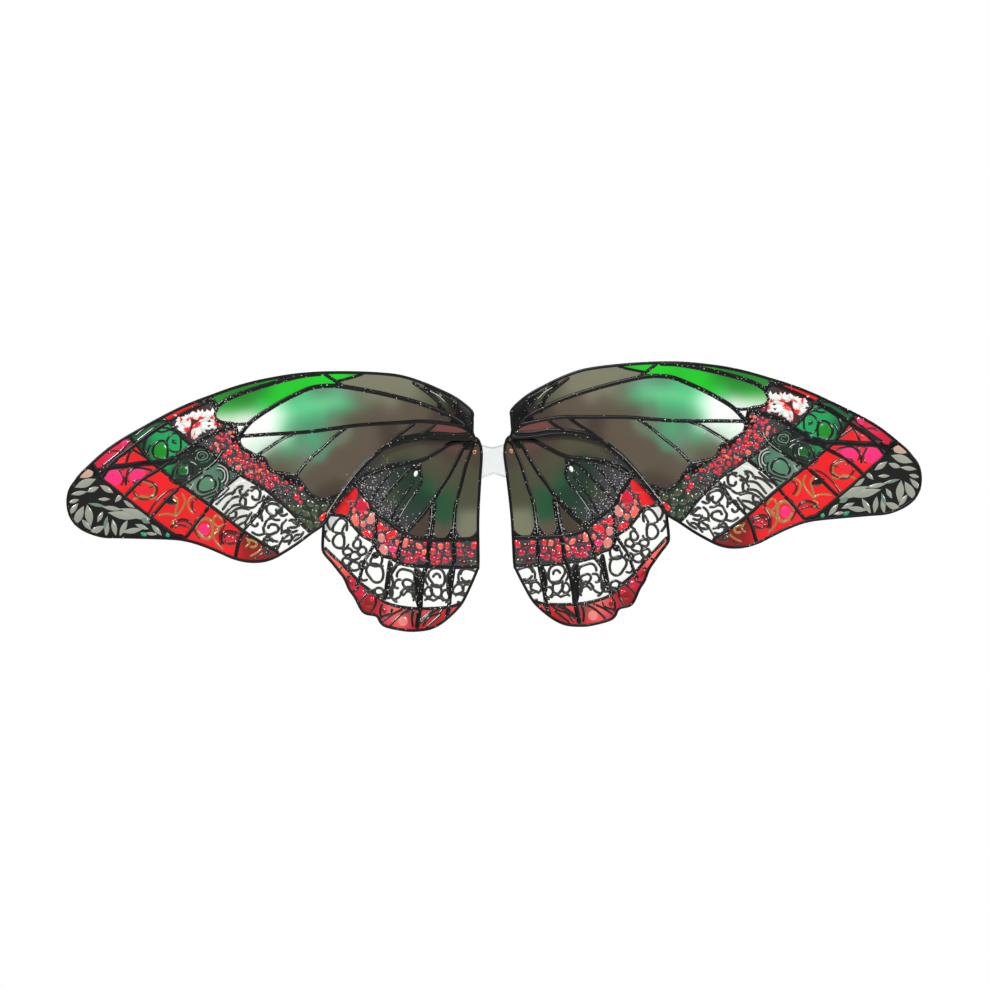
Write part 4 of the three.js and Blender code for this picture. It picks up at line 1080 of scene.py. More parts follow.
border = hind_films["border"]
for points in [
    [(50, -184), (54, -191), (56, -197)], [(59, -186), (66, -192), (76, -196), (84, -206)],
    [(64, -187), (76, -193), (87, -203)], [(71, -187), (82, -196), (92, -207)],
    [(62, -192), (70, -199), (80, -207)], [(93, -187), (95, -196), (94, -207)],
    [(97, -187), (107, -192), (116, -200), (120, -205)], [(105, -186), (116, -191), (128, -199)],
    [(116, -184), (119, -190), (130, -194)], [(127, -178), (130, -188), (128, -196)],
    [(134, -170), (135, -180), (140, -188)], [(141, -165), (148, -172), (153, -178)],
    [(152, -158), (156, -164), (162, -164)], [(161, -148), (166, -150), (169, -152)],
    [(170, -137), (174, -140), (177, -138)],
]:
    stroke(border, points, 2.6, "black", 0.05)
for corners, colour in [
    (arc((105, -199), 5.2), "blush"), (arc((142, -178), 5.0), "dark red"),
    (arc((138, -174), 2.6), "crimson"), (almond((149, -166), 11, 6, 50), "crimson"),
    (almond((162, -155), 13, 5, 60), "dark red"), (almond((174, -134), 16, 4.4, 50), "salmon"),
    (almond((126, -187), 9, 6, 80), "dark red"),
]:
    shard(border, corners, colour, height=DOME_HEIGHT * 0.7)
print(sum(len(relief.points) for relief in hind_films.values()), "points on a hindwing's outer face")

# %% [markdown]
# ## Leading and binding
# The leading is squeezed on last, over every seam, as black resin with silver glitter in it. It is
# widest at the root, where all the veins meet in one lump. A rounded binding closes the film's edge all
# round, so that a wing has no sharp rim.

# %% Leading as beads, with its webs
LEAD_HEIGHT = 1.35


def lead_lines(wing, webs):
    relief = Relief()
    for width, glints, line in wing.lines:
        kept = [p for p in line if inside(wing.margin, p)]
        relief.bead(kept, width, LEAD_HEIGHT, PALETTE["black"], tuple(glints))
    for corners, glitter in webs:
        relief.pebble(smooth(corners, 2.0, closed=True), LEAD_HEIGHT * 0.85, PALETTE["black"], glitter)
    return relief


fore_lead = lead_lines(fore, [
    ([(24, 4), (34, 8), (47, 14), (48, 20), (43, 25), (40, 31), (38, 40), (25, 30), (23.5, 18)], 0.12),
    ([(38, 33), (43, 32), (49, 39), (56, 47), (68, 54), (60, 52.5), (46, 45), (39, 41)], 0.2),
    ([(62, 35), (59, 33), (58, 27), (64, 30)], 0.1),
    ([(278, 4), (284, 0), (290, 4), (288, 12), (282, 15), (277, 9)], 0.3),
    ([(212, -44), (219, -36), (228, -35), (238, -33), (232, -42), (220, -48)], 0.4),
    ([(160, -56), (172, -60), (182, -63), (188, -67), (182, -73), (172, -66)], 0.4),
    ([(304, 42), (314, 48), (324, 45), (318, 51), (308, 52)], 0.6),
    ([(345, -9), (355, -17), (364, -22), (352, -20), (340, -14)], 0.1),
    ([(262, -12), (268, -10), (268, -16), (258, -22), (253, -18)], 0.7),
    ([(418, -17), (434, -22), (446, -20), (440, -31), (426, -28)], 0.2),
])
hind_lead = lead_lines(hind, [
    ([(15, -3), (24, -1), (34, -8), (30, -15), (24, -12), (18, -10)], 0.15),
    ([(20, -102), (24, -106), (31, -111), (20, -112)], 0.05),
    ([(42, -100), (47, -97), (54, -106), (58, -112), (38, -112)], 0.5),
    ([(66, -104), (72, -96), (78, -104), (82, -112), (62, -112)], 0.7),
    ([(80, -24), (90, -27), (96, -31), (86, -36), (79, -32)], 0.5),
    ([(96, -98), (104, -92), (112, -94), (108, -102), (98, -108)], 0.7),
    ([(129, -127), (134, -122), (138, -126), (134, -130)], 0.5),
    ([(84, -146), (88, -139), (92, -146), (92, -170), (88, -186), (83, -186), (82, -165)], 0.4),
    ([(46, -143), (52, -143), (56, -158), (55, -172), (50, -165)], 0.4),
    ([(114, -136), (119, -132), (122, -146), (125, -168), (120, -164), (116, -148)], 0.4),
])
fore_lead.pebble(arc((285, 6), 3.0), LEAD_HEIGHT, PALETTE["black"], 0.3)
# Grey-white beads with silver glitter along some lines of leading: painted highlights that stand for the
# glint of light along those veins.
PAINTED_GLINT_BEADS = [
    (fore_lead, [(131, -15), (143, -25), (156, -39), (168, -54), (180, -70), (187, -80)]),
    (fore_lead, [(176, 4.5), (190, -7.5), (204, -19.5), (216, -32)]),
    (fore_lead, [(220, -35.5), (230, -34), (241, -32.2)]),
    (fore_lead, [(222, 8.6), (240, -0.6), (256, -11.2)]), (fore_lead, [(52, 39.5), (60, 47), (70, 52.5)]),
    (fore_lead, [(298, -6), (307, -18), (320, -28)]), (hind_lead, [(88, -60), (98, -73), (106, -86)]),
    (hind_lead, [(43, -72), (46, -95), (47, -108)]), (hind_lead, [(69, -72), (71, -92), (74, -108)]),
    (hind_lead, [(122, -31.5), (138, -38), (150, -47)]),
]
for relief, points in PAINTED_GLINT_BEADS:
    relief.bead(smooth(points), 1.1, TALLEST, PALETTE["grey white"], 0.9)
print(len(fore_lead.points) + len(hind_lead.points), "points of leading")


# %% The rounded binding round a wing's edge
BINDING_SECTION = 12
BINDING_HALF_WIDTH = 1.7
BINDING_HALF_DEPTH = 1.25
BINDING_SHIFT = 0.1  # how far the binding stands towards the outer face


def binding_mesh(name, wing, faces_at, hand):
    """A closed oval tube along the margin."""
    outer, inner = faces_at
    middle = (outer + inner) / 2 - BINDING_SHIFT
    corners = []
    steps = side_steps(wing.margin, closed=True)
    for point, step in zip(wing.margin, steps):
        for k in range(BINDING_SECTION):
            angle = 2 * math.pi * k / BINDING_SECTION
            spot = point + step * (BINDING_HALF_WIDTH * math.cos(angle))
            corners.append(place(spot.x, spot.y, middle + BINDING_HALF_DEPTH * math.sin(angle)))
    count = len(wing.margin)
    faces = []
    for i in range(count):
        for k in range(BINDING_SECTION):
            m = (k + 1) % BINDING_SECTION
            n = (i + 1) % count
            faces.append(tuple(a * BINDING_SECTION + b for a, b in ((i, k), (i, m), (n, m), (n, k))))
    return painted_mesh(name, corners, faces, [(*PALETTE["black"], 0.12)] * len(corners), hand)


print("binding is an oval of", 2 * BINDING_HALF_WIDTH, "by", 2 * BINDING_HALF_DEPTH, "mm")


# %% [markdown]
# ## Shared effects as node groups
# Glass film and leading both hold silver flakes, and every surface has a little unevenness. Each effect
# is built once as a node group with named sockets, and each material sets its own values. The groups
# give out colours, masks and heights, and the shader itself stays in the material.

# %% Helpers for shader nodes
def new_group(name, inputs, outputs):
    """An empty node group with its sockets, its input node and its output node."""
    tree = bpy.data.node_groups.new(name, "ShaderNodeTree")
    for label, kind, value in inputs:
        socket = tree.interface.new_socket(name=label, in_out="INPUT", socket_type=kind)
        socket.default_value = value
    for label, kind in outputs:
        tree.interface.new_socket(name=label, in_out="OUTPUT", socket_type=kind)
    return tree, tree.nodes.new("NodeGroupInput"), tree.nodes.new("NodeGroupOutput")


def math_node(tree, operation, first, second=None, third=None, clamp=False):
    node = tree.nodes.new("ShaderNodeMath")
    node.operation = operation
    node.use_clamp = clamp
    for socket, value in zip(node.inputs, (first, second, third)):
        if value is None:
            continue
        if isinstance(value, (int, float)):
            socket.default_value = value
        else:
            tree.links.new(value, socket)
    return node.outputs[0]


def blend_colour(tree, share, first, second, mode="MIX"):
    node = tree.nodes.new("ShaderNodeMix")
    node.data_type = "RGBA"
    node.blend_type = mode
    for socket, value in ((node.inputs[0], share), (node.inputs[6], first), (node.inputs[7], second)):
        if isinstance(value, (int, float)):
            socket.default_value = value
        elif isinstance(value, tuple):
            socket.default_value = (*value[:3], 1.0)
        else:
            tree.links.new(value, socket)
    return node.outputs[2]


def textured(tree, kind, scale, where=None, **settings):
    """A texture node in the piece's own coordinates. Scale is in features per metre."""
    node = tree.nodes.new(kind)
    if where is None:
        where = tree.nodes.new("ShaderNodeTexCoord").outputs["Object"]
    tree.links.new(where, node.inputs["Vector"])
    if isinstance(scale, (int, float)):
        node.inputs["Scale"].default_value = scale
    else:
        tree.links.new(scale, node.inputs["Scale"])
    for name, value in settings.items():
        if name in node.inputs:
            node.inputs[name].default_value = value
        else:
            setattr(node, name, value)
    return node


print("shader helpers ready")

# %% Silver flakes
flakes, given, made = new_group(
    "Silver flakes",
    [("Color", "NodeSocketColor", (0, 0, 0, 1)), ("Amount", "NodeSocketFloat", 0.3),
     ("Per metre", "NodeSocketFloat", 900.0)],
    [("Color", "NodeSocketColor"), ("Flake", "NodeSocketFloat"), ("Height", "NodeSocketFloat")])
cells = textured(flakes, "ShaderNodeTexVoronoi", given.outputs["Per metre"], Randomness=1.0)
chance = flakes.nodes.new("ShaderNodeSeparateColor")
flakes.links.new(cells.outputs["Color"], chance.inputs[0])
rarity = math_node(flakes, "POWER", given.outputs["Amount"], 1.5)
wanted = math_node(flakes, "LESS_THAN", chance.outputs[0], math_node(flakes, "MULTIPLY", rarity, 0.5))
flake_size = math_node(flakes, "MULTIPLY_ADD", chance.outputs[1], 0.25, 0.22)
disc = math_node(flakes, "LESS_THAN", cells.outputs["Distance"], flake_size)
flake = math_node(flakes, "MULTIPLY", wanted, disc)
shine = blend_colour(flakes, chance.outputs[2], (0.62, 0.63, 0.6), (1.0, 1.0, 0.98))
flakes.links.new(blend_colour(flakes, flake, given.outputs["Color"], shine), made.inputs["Color"])
flakes.links.new(flake, made.inputs["Flake"])
lean = math_node(flakes, "SUBTRACT", chance.outputs[1], 0.5)
tilt = math_node(flakes, "MULTIPLY", cells.outputs["Distance"], lean)
flakes.links.new(math_node(flakes, "MULTIPLY", tilt, flake), made.inputs["Height"])
print(flakes.name, "outputs", [s.name for s in flakes.interface.items_tree if s.in_out == "OUTPUT"])

# %% Uneven surface: grain height and a roughness that wanders
uneven, given, made = new_group(
    "Uneven surface",
    [("Grain per metre", "NodeSocketFloat", 300.0), ("Smoothest", "NodeSocketFloat", 0.1),
     ("Roughest", "NodeSocketFloat", 0.3)],
    [("Roughness", "NodeSocketFloat"), ("Height", "NodeSocketFloat"), ("Cloud", "NodeSocketFloat")])
grain = textured(uneven, "ShaderNodeTexNoise", given.outputs["Grain per metre"], Detail=4.0, Roughness=0.6)
cloud = textured(uneven, "ShaderNodeTexNoise", 28.0, Detail=3.0)
wider = math_node(uneven, "SUBTRACT", given.outputs["Roughest"], given.outputs["Smoothest"])
wander = math_node(uneven, "MULTIPLY_ADD", cloud.outputs[0], 2.2, -0.6, clamp=True)
wandering = math_node(uneven, "MULTIPLY_ADD", wander, wider, given.outputs["Smoothest"])
uneven.links.new(wandering, made.inputs["Roughness"])
uneven.links.new(grain.outputs[0], made.inputs["Height"])
uneven.links.new(wander, made.inputs["Cloud"])
print(uneven.name, "ready")


# %% [markdown]
# ## Finishes
# The pattern's colours ride on the mesh, as an attribute that was laid down with each pane, pebble and
# line. So one recipe serves every film: read the tint, cloud it slightly as dipped film does, add the
# flakes, and cover it with a clear gloss. Each slot still gets a material of its own, because a resin
# pane, a foil and a dyed film don't shine in quite the same way.

# %% Glass film, pebbled film and leading
FLAKE_METAL = 0.25
FLAKE_ROUGHNESS = 0.32  # a flake is at least this rough
FLAKE_RELIEF = 4.0  # how much a flake's tilt weighs against the fine grain


def placed_group(tree, group, **values):
    node = tree.nodes.new("ShaderNodeGroup")
    node.node_tree = group
    for name, value in values.items():
        node.inputs[name.replace("_", " ")].default_value = value
    return node


def bumped(tree, height, distance, strength=1.0):
    node = tree.nodes.new("ShaderNodeBump")
    node.inputs["Distance"].default_value = distance
    node.inputs["Strength"].default_value = strength
    tree.links.new(height, node.inputs["Height"])
    return node.outputs[0]


def new_material(name):
    material = bpy.data.materials.new(name)
    material.use_nodes = True
    tree = material.node_tree
    return material, tree, tree.nodes["Principled BSDF"]


def tinted_material(name, smoothest, roughest, coat, grain, relief_depth, mottle, flakes_per_metre=900.0):
    """A finish whose colour and glitter come from the mesh."""
    material, tree, shader = new_material(name)
    tint = tree.nodes.new("ShaderNodeAttribute")
    tint.attribute_name = "tint"
    glitter = tree.nodes.new("ShaderNodeAttribute")
    glitter.attribute_name = "glitter"
    surface = placed_group(tree, uneven, Grain_per_metre=grain, Smoothest=smoothest, Roughest=roughest)
    shade = math_node(tree, "MULTIPLY_ADD", surface.outputs["Cloud"], mottle, 1.0 - mottle * 0.6)
    clouded = blend_colour(tree, 1.0, tint.outputs["Color"], grey_of(tree, shade), "MULTIPLY")
    silver = placed_group(tree, flakes, Per_metre=flakes_per_metre)
    tree.links.new(clouded, silver.inputs["Color"])
    tree.links.new(glitter.outputs["Fac"], silver.inputs["Amount"])
    tree.links.new(silver.outputs["Color"], shader.inputs["Base Color"])
    metal = math_node(tree, "MULTIPLY", silver.outputs["Flake"], FLAKE_METAL)
    tree.links.new(metal, shader.inputs["Metallic"])
    flake_rough = math_node(tree, "MULTIPLY", silver.outputs["Flake"], FLAKE_ROUGHNESS)
    rough = math_node(tree, "MAXIMUM", surface.outputs["Roughness"], flake_rough)
    tree.links.new(rough, shader.inputs["Roughness"])
    tilted = silver.outputs["Height"]
    height = math_node(tree, "MULTIPLY_ADD", tilted, FLAKE_RELIEF, surface.outputs["Height"])
    tree.links.new(bumped(tree, height, relief_depth), shader.inputs["Normal"])
    shader.inputs["Coat Weight"].default_value = coat
    shader.inputs["Coat Roughness"].default_value = 0.05
    return material


def grey_of(tree, value):
    node = tree.nodes.new("ShaderNodeCombineColor")
    for socket in node.inputs[:3]:
        tree.links.new(value, socket)
    return node.outputs[0]


FILM_FINISH = {
    "green_film": (0.1, 0.2, 0.6, 90, 0.0001, 0.1),
    "olive_film": (0.12, 0.24, 0.6, 90, 0.0001, 0.14, 760.0),
    "pebble_film": (0.08, 0.2, 0.8, 260, 0.0001, 0.2), "ring_film": (0.14, 0.3, 0.6, 180, 0.0001, 0.12),
    "white_film": (0.2, 0.34, 0.4, 180, 0.0001, 0.06), "red_film": (0.1, 0.24, 0.7, 180, 0.0001, 0.18),
    "border_film": (0.12, 0.28, 0.6, 180, 0.0001, 0.2), "tip_film": (0.16, 0.32, 0.5, 220, 0.0001, 0.15),
}
finishes = {slot: tinted_material(slot, *values) for slot, values in FILM_FINISH.items()}
finishes["black_leading"] = tinted_material("black_leading", 0.24, 0.42, 0.0, 520, 0.00022, 0.3, 800.0)
finishes["black_leading"].node_tree.nodes["Principled BSDF"].inputs["Specular IOR Level"].default_value = 0.3
print(sorted(finishes))


# %% Hardware finishes
def plain_material(name, dark, light, smoothest, roughest, grain, depth, metallic=0.0, coat=0.0,
                   streaks=None):
    """Moulded, coated or turned surfaces: two near shades clouded together, and a fine grain."""
    material, tree, shader = new_material(name)
    surface = placed_group(tree, uneven, Grain_per_metre=grain, Smoothest=smoothest, Roughest=roughest)
    tree.links.new(blend_colour(tree, surface.outputs["Cloud"], dark, light), shader.inputs["Base Color"])
    tree.links.new(surface.outputs["Roughness"], shader.inputs["Roughness"])
    height = surface.outputs["Height"]
    if streaks:
        stretch = tree.nodes.new("ShaderNodeMapping")
        stretch.inputs["Scale"].default_value = streaks
        tree.links.new(tree.nodes.new("ShaderNodeTexCoord").outputs["Object"], stretch.inputs["Vector"])
        brushed = textured(tree, "ShaderNodeTexNoise", 1.0, stretch.outputs[0], Detail=5.0)
        height = math_node(tree, "MULTIPLY_ADD", brushed.outputs[0], 1.5, height)
    tree.links.new(bumped(tree, height, depth), shader.inputs["Normal"])
    shader.inputs["Metallic"].default_value = metallic
    shader.inputs["Coat Weight"].default_value = coat
    return material


PLAIN_FINISH = {
    "black_wire": ((0.008, 0.008, 0.008), (0.02, 0.02, 0.019), 0.3, 0.5, 900, 0.00006, 0.0, 0.2),
    "black_moulding": ((0.011, 0.011, 0.012), (0.026, 0.026, 0.028), 0.38, 0.58, 1500, 0.00008),
    "steel": ((0.42, 0.43, 0.45), (0.62, 0.62, 0.63), 0.16, 0.36, 700, 0.00003, 1.0, 0.0, (300, 2400, 300)),
    "copper": ((0.62, 0.28, 0.16), (0.86, 0.46, 0.3), 0.14, 0.38, 500, 0.00004, 1.0),
    "clear_silicone": ((0.95, 0.96, 0.96), (0.98, 0.99, 0.99), 0.3, 0.5, 800, 0.00005),
    "clear_plastic": ((0.95, 0.97, 0.97), (0.98, 0.99, 0.99), 0.05, 0.16, 60, 0.00004),
}
for name, values in PLAIN_FINISH.items():
    finishes[name] = plain_material(name, *values)
for name, transmission, bending in (("clear_plastic", 1.0, 1.49), ("clear_silicone", 0.98, 1.41)):
    clear = finishes[name].node_tree.nodes["Principled BSDF"]
    clear.inputs["Transmission Weight"].default_value = transmission
    clear.inputs["IOR"].default_value = bending
print(len(finishes), "finishes")

# %% [markdown]
# ## Webbing
# Elastic webbing is a dull black weave with a little fuzz on it. A picture of a weave would repeat, so two
# noises stand for the threads and the lint, and a touch of sheen for the fibres that stand up.

# %% Woven elastic
webbing, tree, shader = new_material("elastic_webbing")
weave = textured(tree, "ShaderNodeTexVoronoi", 900.0, Randomness=0.35)
lint = textured(tree, "ShaderNodeTexNoise", 2600.0, Detail=3.0)
surface = placed_group(tree, uneven, Grain_per_metre=1800, Smoothest=0.72, Roughest=0.92)
threads = blend_colour(tree, weave.outputs["Distance"], (0.03, 0.03, 0.031), (0.008, 0.008, 0.009))
fuzz = math_node(tree, "MULTIPLY_ADD", lint.outputs[0], 1.6, -0.85, clamp=True)
tree.links.new(blend_colour(tree, fuzz, threads, (0.028, 0.028, 0.03)), shader.inputs["Base Color"])
tree.links.new(surface.outputs["Roughness"], shader.inputs["Roughness"])
valleys = math_node(tree, "MULTIPLY", weave.outputs["Distance"], -1.0)
knit = math_node(tree, "MULTIPLY_ADD", lint.outputs[0], 0.4, valleys)
tree.links.new(bumped(tree, knit, 0.0003), shader.inputs["Normal"])
shader.inputs["Sheen Weight"].default_value = 0.12
finishes["elastic_webbing"] = webbing
print("webbing ready")


# %% [markdown]
# ## The wings take their places
# Each relief becomes one object on each side. It rides on its wing's body, so it turns about the pivot
# bolt and folds at the hinge, and it stands in for the plain film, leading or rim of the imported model.

# %% Put pieces on their bodies
def put(mesh, name, body, node, slot):
    piece = bpy.data.objects.new(name, mesh)
    bpy.context.scene.collection.objects.link(piece)
    mesh.materials.clear()
    mesh.materials.append(finishes[slot])
    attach(piece, body)
    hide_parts(node)
    return piece


FILM_SLOTS = {
    "forewing": {"cells": "green_film", "pebble": "pebble_film", "ring": "ring_film", "red": "red_film",
                 "tip": "tip_film"},
    "hindwing": {"cells": "olive_film", "pebble": "pebble_film", "scroll": "white_film",
                 "border": "border_film"},
}
for side, hand in zip(SIDES, (1, -1)):
    for wing_name, wing, films, lead, depth in (("forewing", fore, fore_films, fore_lead, FORE_FACES),
                                                ("hindwing", hind, hind_films, hind_lead, HIND_FACES)):
        body = f"{wing_name}_{side}"
        for film, relief in films.items():
            mesh = relief.mesh(f"{wing_name}_{film}_glass_{side}", depth, hand)
            put(mesh, mesh.name, body, f"{wing_name}_{film}_film_{side}", FILM_SLOTS[wing_name][film])
        mesh = lead.mesh(f"{wing_name}_leading_beads_{side}", depth, hand)
        put(mesh, mesh.name, body, f"{wing_name}_leading_{side}", "black_leading")
        mesh = binding_mesh(f"{wing_name}_binding_{side}", wing, depth, hand)
        put(mesh, mesh.name, body, f"{wing_name}_rim_{side}", "black_leading")
print("glass, leading and binding on four wings")

# %% [markdown]
# ## Hardware
# The rods, arms, bolts, hinges and plate are moulded, coated or turned parts whose shape the packed
# model already has in full. They keep it, and get a finish and a small rounded edge, as a mould or a
# tumbler gives them.

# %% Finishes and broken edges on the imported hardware
HARDWARE = {
    "black_wire": ("costa_rod", "brace_rod", "hindwing_rod"),
    "black_moulding": ("root_arm", "hinge_leaf", "thumb_nut", "slider"),
    "steel": ("pivot_bolt", "spacer", "washer", "hinge_pin"),
    "copper": ("root_rivet",),
    "clear_plastic": ("back_plate",),
}
ROUNDED_EDGE = 0.0004
THIN_EDGE = 0.0002  # on rods and washers
CREASE = math.radians(34)  # a sharper corner than this is an edge
for name, node in nodes.items():
    slot = next((slot for slot, words in HARDWARE.items() if any(word in name for word in words)), None)
    if slot is None:
        continue
    node.data.materials.clear()
    node.data.materials.append(finishes[slot])
    for face in node.data.polygons:
        face.material_index = 0
    edge = node.modifiers.new("broken edge", "BEVEL")
    edge.width = THIN_EDGE if "rod" in name or "washer" in name else ROUNDED_EDGE
    edge.segments = 2
    edge.limit_method = "ANGLE"
    edge.angle_limit = CREASE
    edge.harden_normals = False
    node.data.shade_smooth()
    node.data.set_sharp_from_angle(angle=CREASE)
print("hardware finished")

# %% [markdown]
# ## Grip pad
# The plate is worn against the back through a thin pad of clear silicone, which is moulded with rounded
# edges and rows of low nubs so that it grips cloth. Its outline is the plate's, drawn in a little. The
# pad's height over the plate is worked out at every point of a grid from the distance to its edge, and
# the nubs are added to that.

# %% Build the pad
PAD_HALF = [
    (0, -40), (16, -46), (22, -54), (22, -76), (38, -76), (38, -64), (30, -64), (28, -57), (28, 22),
    (32, 27), (38, 27), (38, 38), (27.5, 27), (26.5, 1), (16, -8), (0, -12),
]
NUB_PITCH = 5.0
PAD_GRID = 1.2  # spacing of the pad's points
PAD_ROWS = range(-64, 34)  # grid lines that cover the pad, up and across
PAD_COLUMNS = range(-33, 34)
PAD_ROUNDING = 2.2  # how far in from its edge the pad's face rounds over
pad_low, pad_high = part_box("grip_pad")
PAD_ZERO = pad_high.z / MM - 38  # the pad's top corner is 38 above the drawing's zero line
pad_depth = (pad_high.y - pad_low.y) / MM


def evenly(points, spacing):
    """Points along straight edges at an even spacing."""
    out = []
    for a, b in zip(points, points[1:] + points[:1]):
        a, b = Vector(a), Vector(b)
        count = max(1, round((b - a).length / spacing))
        out += [a + (b - a) * (k / count) for k in range(count)]
    return out


def pad_mesh():
    outline = evenly(PAD_HALF + [(-x, y) for x, y in reversed(PAD_HALF) if x], PAD_GRID)
    edge = kdtree.KDTree(len(outline))
    for index, point in enumerate(outline):
        edge.insert((point.x, point.y, 0), index)
    edge.balance()
    points = list(outline)
    for row in PAD_ROWS:
        for column in PAD_COLUMNS:
            spot = Vector((column * PAD_GRID, row * PAD_GRID))
            if edge.find((spot.x, spot.y, 0))[2] > 0.75 * PAD_GRID and inside(outline, spot):
                points.append(spot)
    seams = [(i, (i + 1) % len(outline)) for i in range(len(outline))]
    points, _, faces, *_ = geometry.delaunay_2d_cdt(points, seams, [], 1, 0.001)
    front = []
    for x, y in points:
        reach = min(1.0, edge.find((x, y, 0))[2] / PAD_ROUNDING)
        crown = math.sqrt(max(0.0, 1 - (1 - reach) ** 2))
        nub = max(0.0, math.cos(2 * math.pi * x / NUB_PITCH) * math.cos(2 * math.pi * y / NUB_PITCH))
        if reach < 1:
            nub = 0.0
        front.append(pad_depth * (0.35 + 0.5 * crown + 0.15 * nub ** 1.5))
    corners = [(x * MM, pad_low.y + h * MM, (y + PAD_ZERO) * MM) for (x, y), h in zip(points, front)]
    corners += [(x * MM, pad_low.y, (y + PAD_ZERO) * MM) for x, y in points]
    shift = len(points)
    skins = [tuple(reversed(face)) for face in faces] + [tuple(k + shift for k in face) for face in faces]
    sides = {}
    for face in faces:
        for a, b in zip(face, face[1:] + face[:1]):
            sides[(a, b)] = True
    skins += [(a, b, b + shift, a + shift) for a, b in sides if (b, a) not in sides]
    mesh = bpy.data.meshes.new("grip_pad_silicone")
    mesh.from_pydata(corners, [], skins)
    mesh.shade_smooth()
    mesh.set_sharp_from_angle(angle=math.radians(60))
    return mesh


pad = put(pad_mesh(), "grip_pad_silicone", "harness", "grip_pad", "clear_silicone")
print("pad", len(pad.data.vertices), "points")

# %% [markdown]
# ## Shoulder straps
# Each strap is one length of ribbed elastic. It wraps the bar beside a slot in the plate, is sewn back
# on itself, loops over the shoulder and returns to the lower slot, with a slider on the way. Webbing is
# flat and keeps its width, so it is swept along its route with a ribbed section, instead of being
# simulated.

# %% Strap route and section
STRAP_WIDTH = 20.0
STRAP_THICKNESS = 1.5
STRAP_MIDDLE = 52.0
RIBS = 13
strap_low, strap_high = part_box("shoulder_strap_right")
STRAP_ZERO = strap_high.z / MM - 42.8  # the route's heights are in the wings' drawing
FACE = -1.75  # depth of the strap where it lies on the plate
ROUTE = [
    (FACE, 34), (FACE, 37), (1, 40.4), (6, 41.8), (22, 41), (52, 33), (76, 14), (84, 2), (88, -12),
    (88, -86), (82, -116), (62, -146), (38, -158), (18, -148), (6, -120), (0, -96), (FACE, -82),
    (FACE, -72),
]
WRAPS = ((33.0, 41.0), (-78.0, -70.0))  # heights of the plate's bars that the ends go round
SEWN = ((34.4, 38.0), (-80.5, -73.0))  # heights of the sewn boxes on the strap's ends


def strap_section():
    """Half ribbed top, half ribbed underside, as across and thickness."""
    steps = RIBS * 4
    top = []
    for k in range(steps + 1):
        share = k / steps
        across = (share - 0.5) * STRAP_WIDTH
        rib = 0.5 + 0.5 * math.cos(2 * math.pi * share * RIBS + math.pi)
        edge = min(1.0, min(share, 1 - share) * STRAP_WIDTH / 0.7)
        top.append((across, (0.5 * STRAP_THICKNESS - 0.22 + 0.2 * rib) * math.sqrt(edge * (2 - edge)) + 0.02))
    return top + [(a, -t) for a, t in reversed(top)]


def skin_tube(faces, first, rows, size, closed, hand):
    """Join rings of points into a tube, and cap its ends unless it closes on itself."""
    for i in range(rows if closed else rows - 1):
        for k in range(size):
            m = (k + 1) % size
            n = (i + 1) % rows
            quad = [first + a * size + b for a, b in ((i, k), (n, k), (n, m), (i, m))]
            faces.append(tuple(quad if hand > 0 else reversed(quad)))
    if not closed:
        start = tuple(range(first, first + size))
        end = tuple(reversed(range(first + (rows - 1) * size, first + rows * size)))
        faces += [start, end] if hand > 0 else [tuple(reversed(start)), tuple(reversed(end))]


def sweep(corners, faces, route, closed, hand):
    """Sweep the strap's section along a route of depths and heights."""
    section = strap_section()
    steps = side_steps(route, closed)
    first = len(corners)
    for point, step in zip(route, steps):
        for across, thick in section:
            spot = point + step * thick
            corners.append((hand * (STRAP_MIDDLE + across) * MM, spot.x * MM, (spot.y + STRAP_ZERO) * MM))
    skin_tube(faces, first, len(route), len(section), closed, hand)


def rounded_wrap(low, high):
    """The loop of strap round a bar, with rounded corners."""
    inner, outer = strap_low.y / MM + STRAP_THICKNESS / 2, FACE
    middle, half = (inner + outer) / 2, (outer - inner) / 2
    points = []
    for start, centre in ((0, high), (180, low)):
        for k in range(13):
            angle = math.radians(start + 15 * k)
            points.append(Vector((middle + half * math.cos(angle), centre + 0.4 * half * math.sin(angle))))
    return smooth(points, 1.5, closed=True)


print("section of", len(strap_section()), "points")


# %% Stitches
THREAD_RADIUS = 0.32
THREAD_ARCH = 0.3
STITCH_PITCH = 2.6
SEWN_HALF_WIDTH = 7.5


def stitch(corners, faces, start, end, hand):
    """One thread lying on the strap's face, as a low arch from start to end (out, depth, height)."""
    first = len(corners)
    rows, size = 5, 6
    direction = (end - start).normalized()
    side = direction.cross(Vector((0, 1, 0))).normalized()
    for i in range(rows):
        share = i / (rows - 1)
        middle = start.lerp(end, share) + Vector((0, THREAD_ARCH * math.sin(math.pi * share), 0))
        for k in range(size):
            angle = 2 * math.pi * k / size
            spot = middle + side * (THREAD_RADIUS * math.cos(angle))
            spot.y += THREAD_RADIUS * math.sin(angle)
            corners.append((hand * spot.x * MM, spot.y * MM, (spot.z + STRAP_ZERO) * MM))
    skin_tube(faces, first, rows, size, False, -hand)


def stitched_box(corners, faces, low, high, hand):
    """A sewn box with a cross in it, as at the end of any strap."""
    left, right = STRAP_MIDDLE - SEWN_HALF_WIDTH, STRAP_MIDDLE + SEWN_HALF_WIDTH
    square = [(left, low), (right, low), (right, high), (left, high)]
    lines = list(zip(square, square[1:] + square[:1])) + [(square[0], square[2]), (square[1], square[3])]
    for (x0, z0), (x1, z1) in lines:
        start = Vector((x0, FACE + STRAP_THICKNESS / 2, z0))
        end = Vector((x1, start.y, z1))
        count = max(1, round((end - start).length / STITCH_PITCH))
        for k in range(count):
            down = start.lerp(end, (k + 0.12) / count)
            up = start.lerp(end, (k + 0.88) / count)
            stitch(corners, faces, down, up, hand)


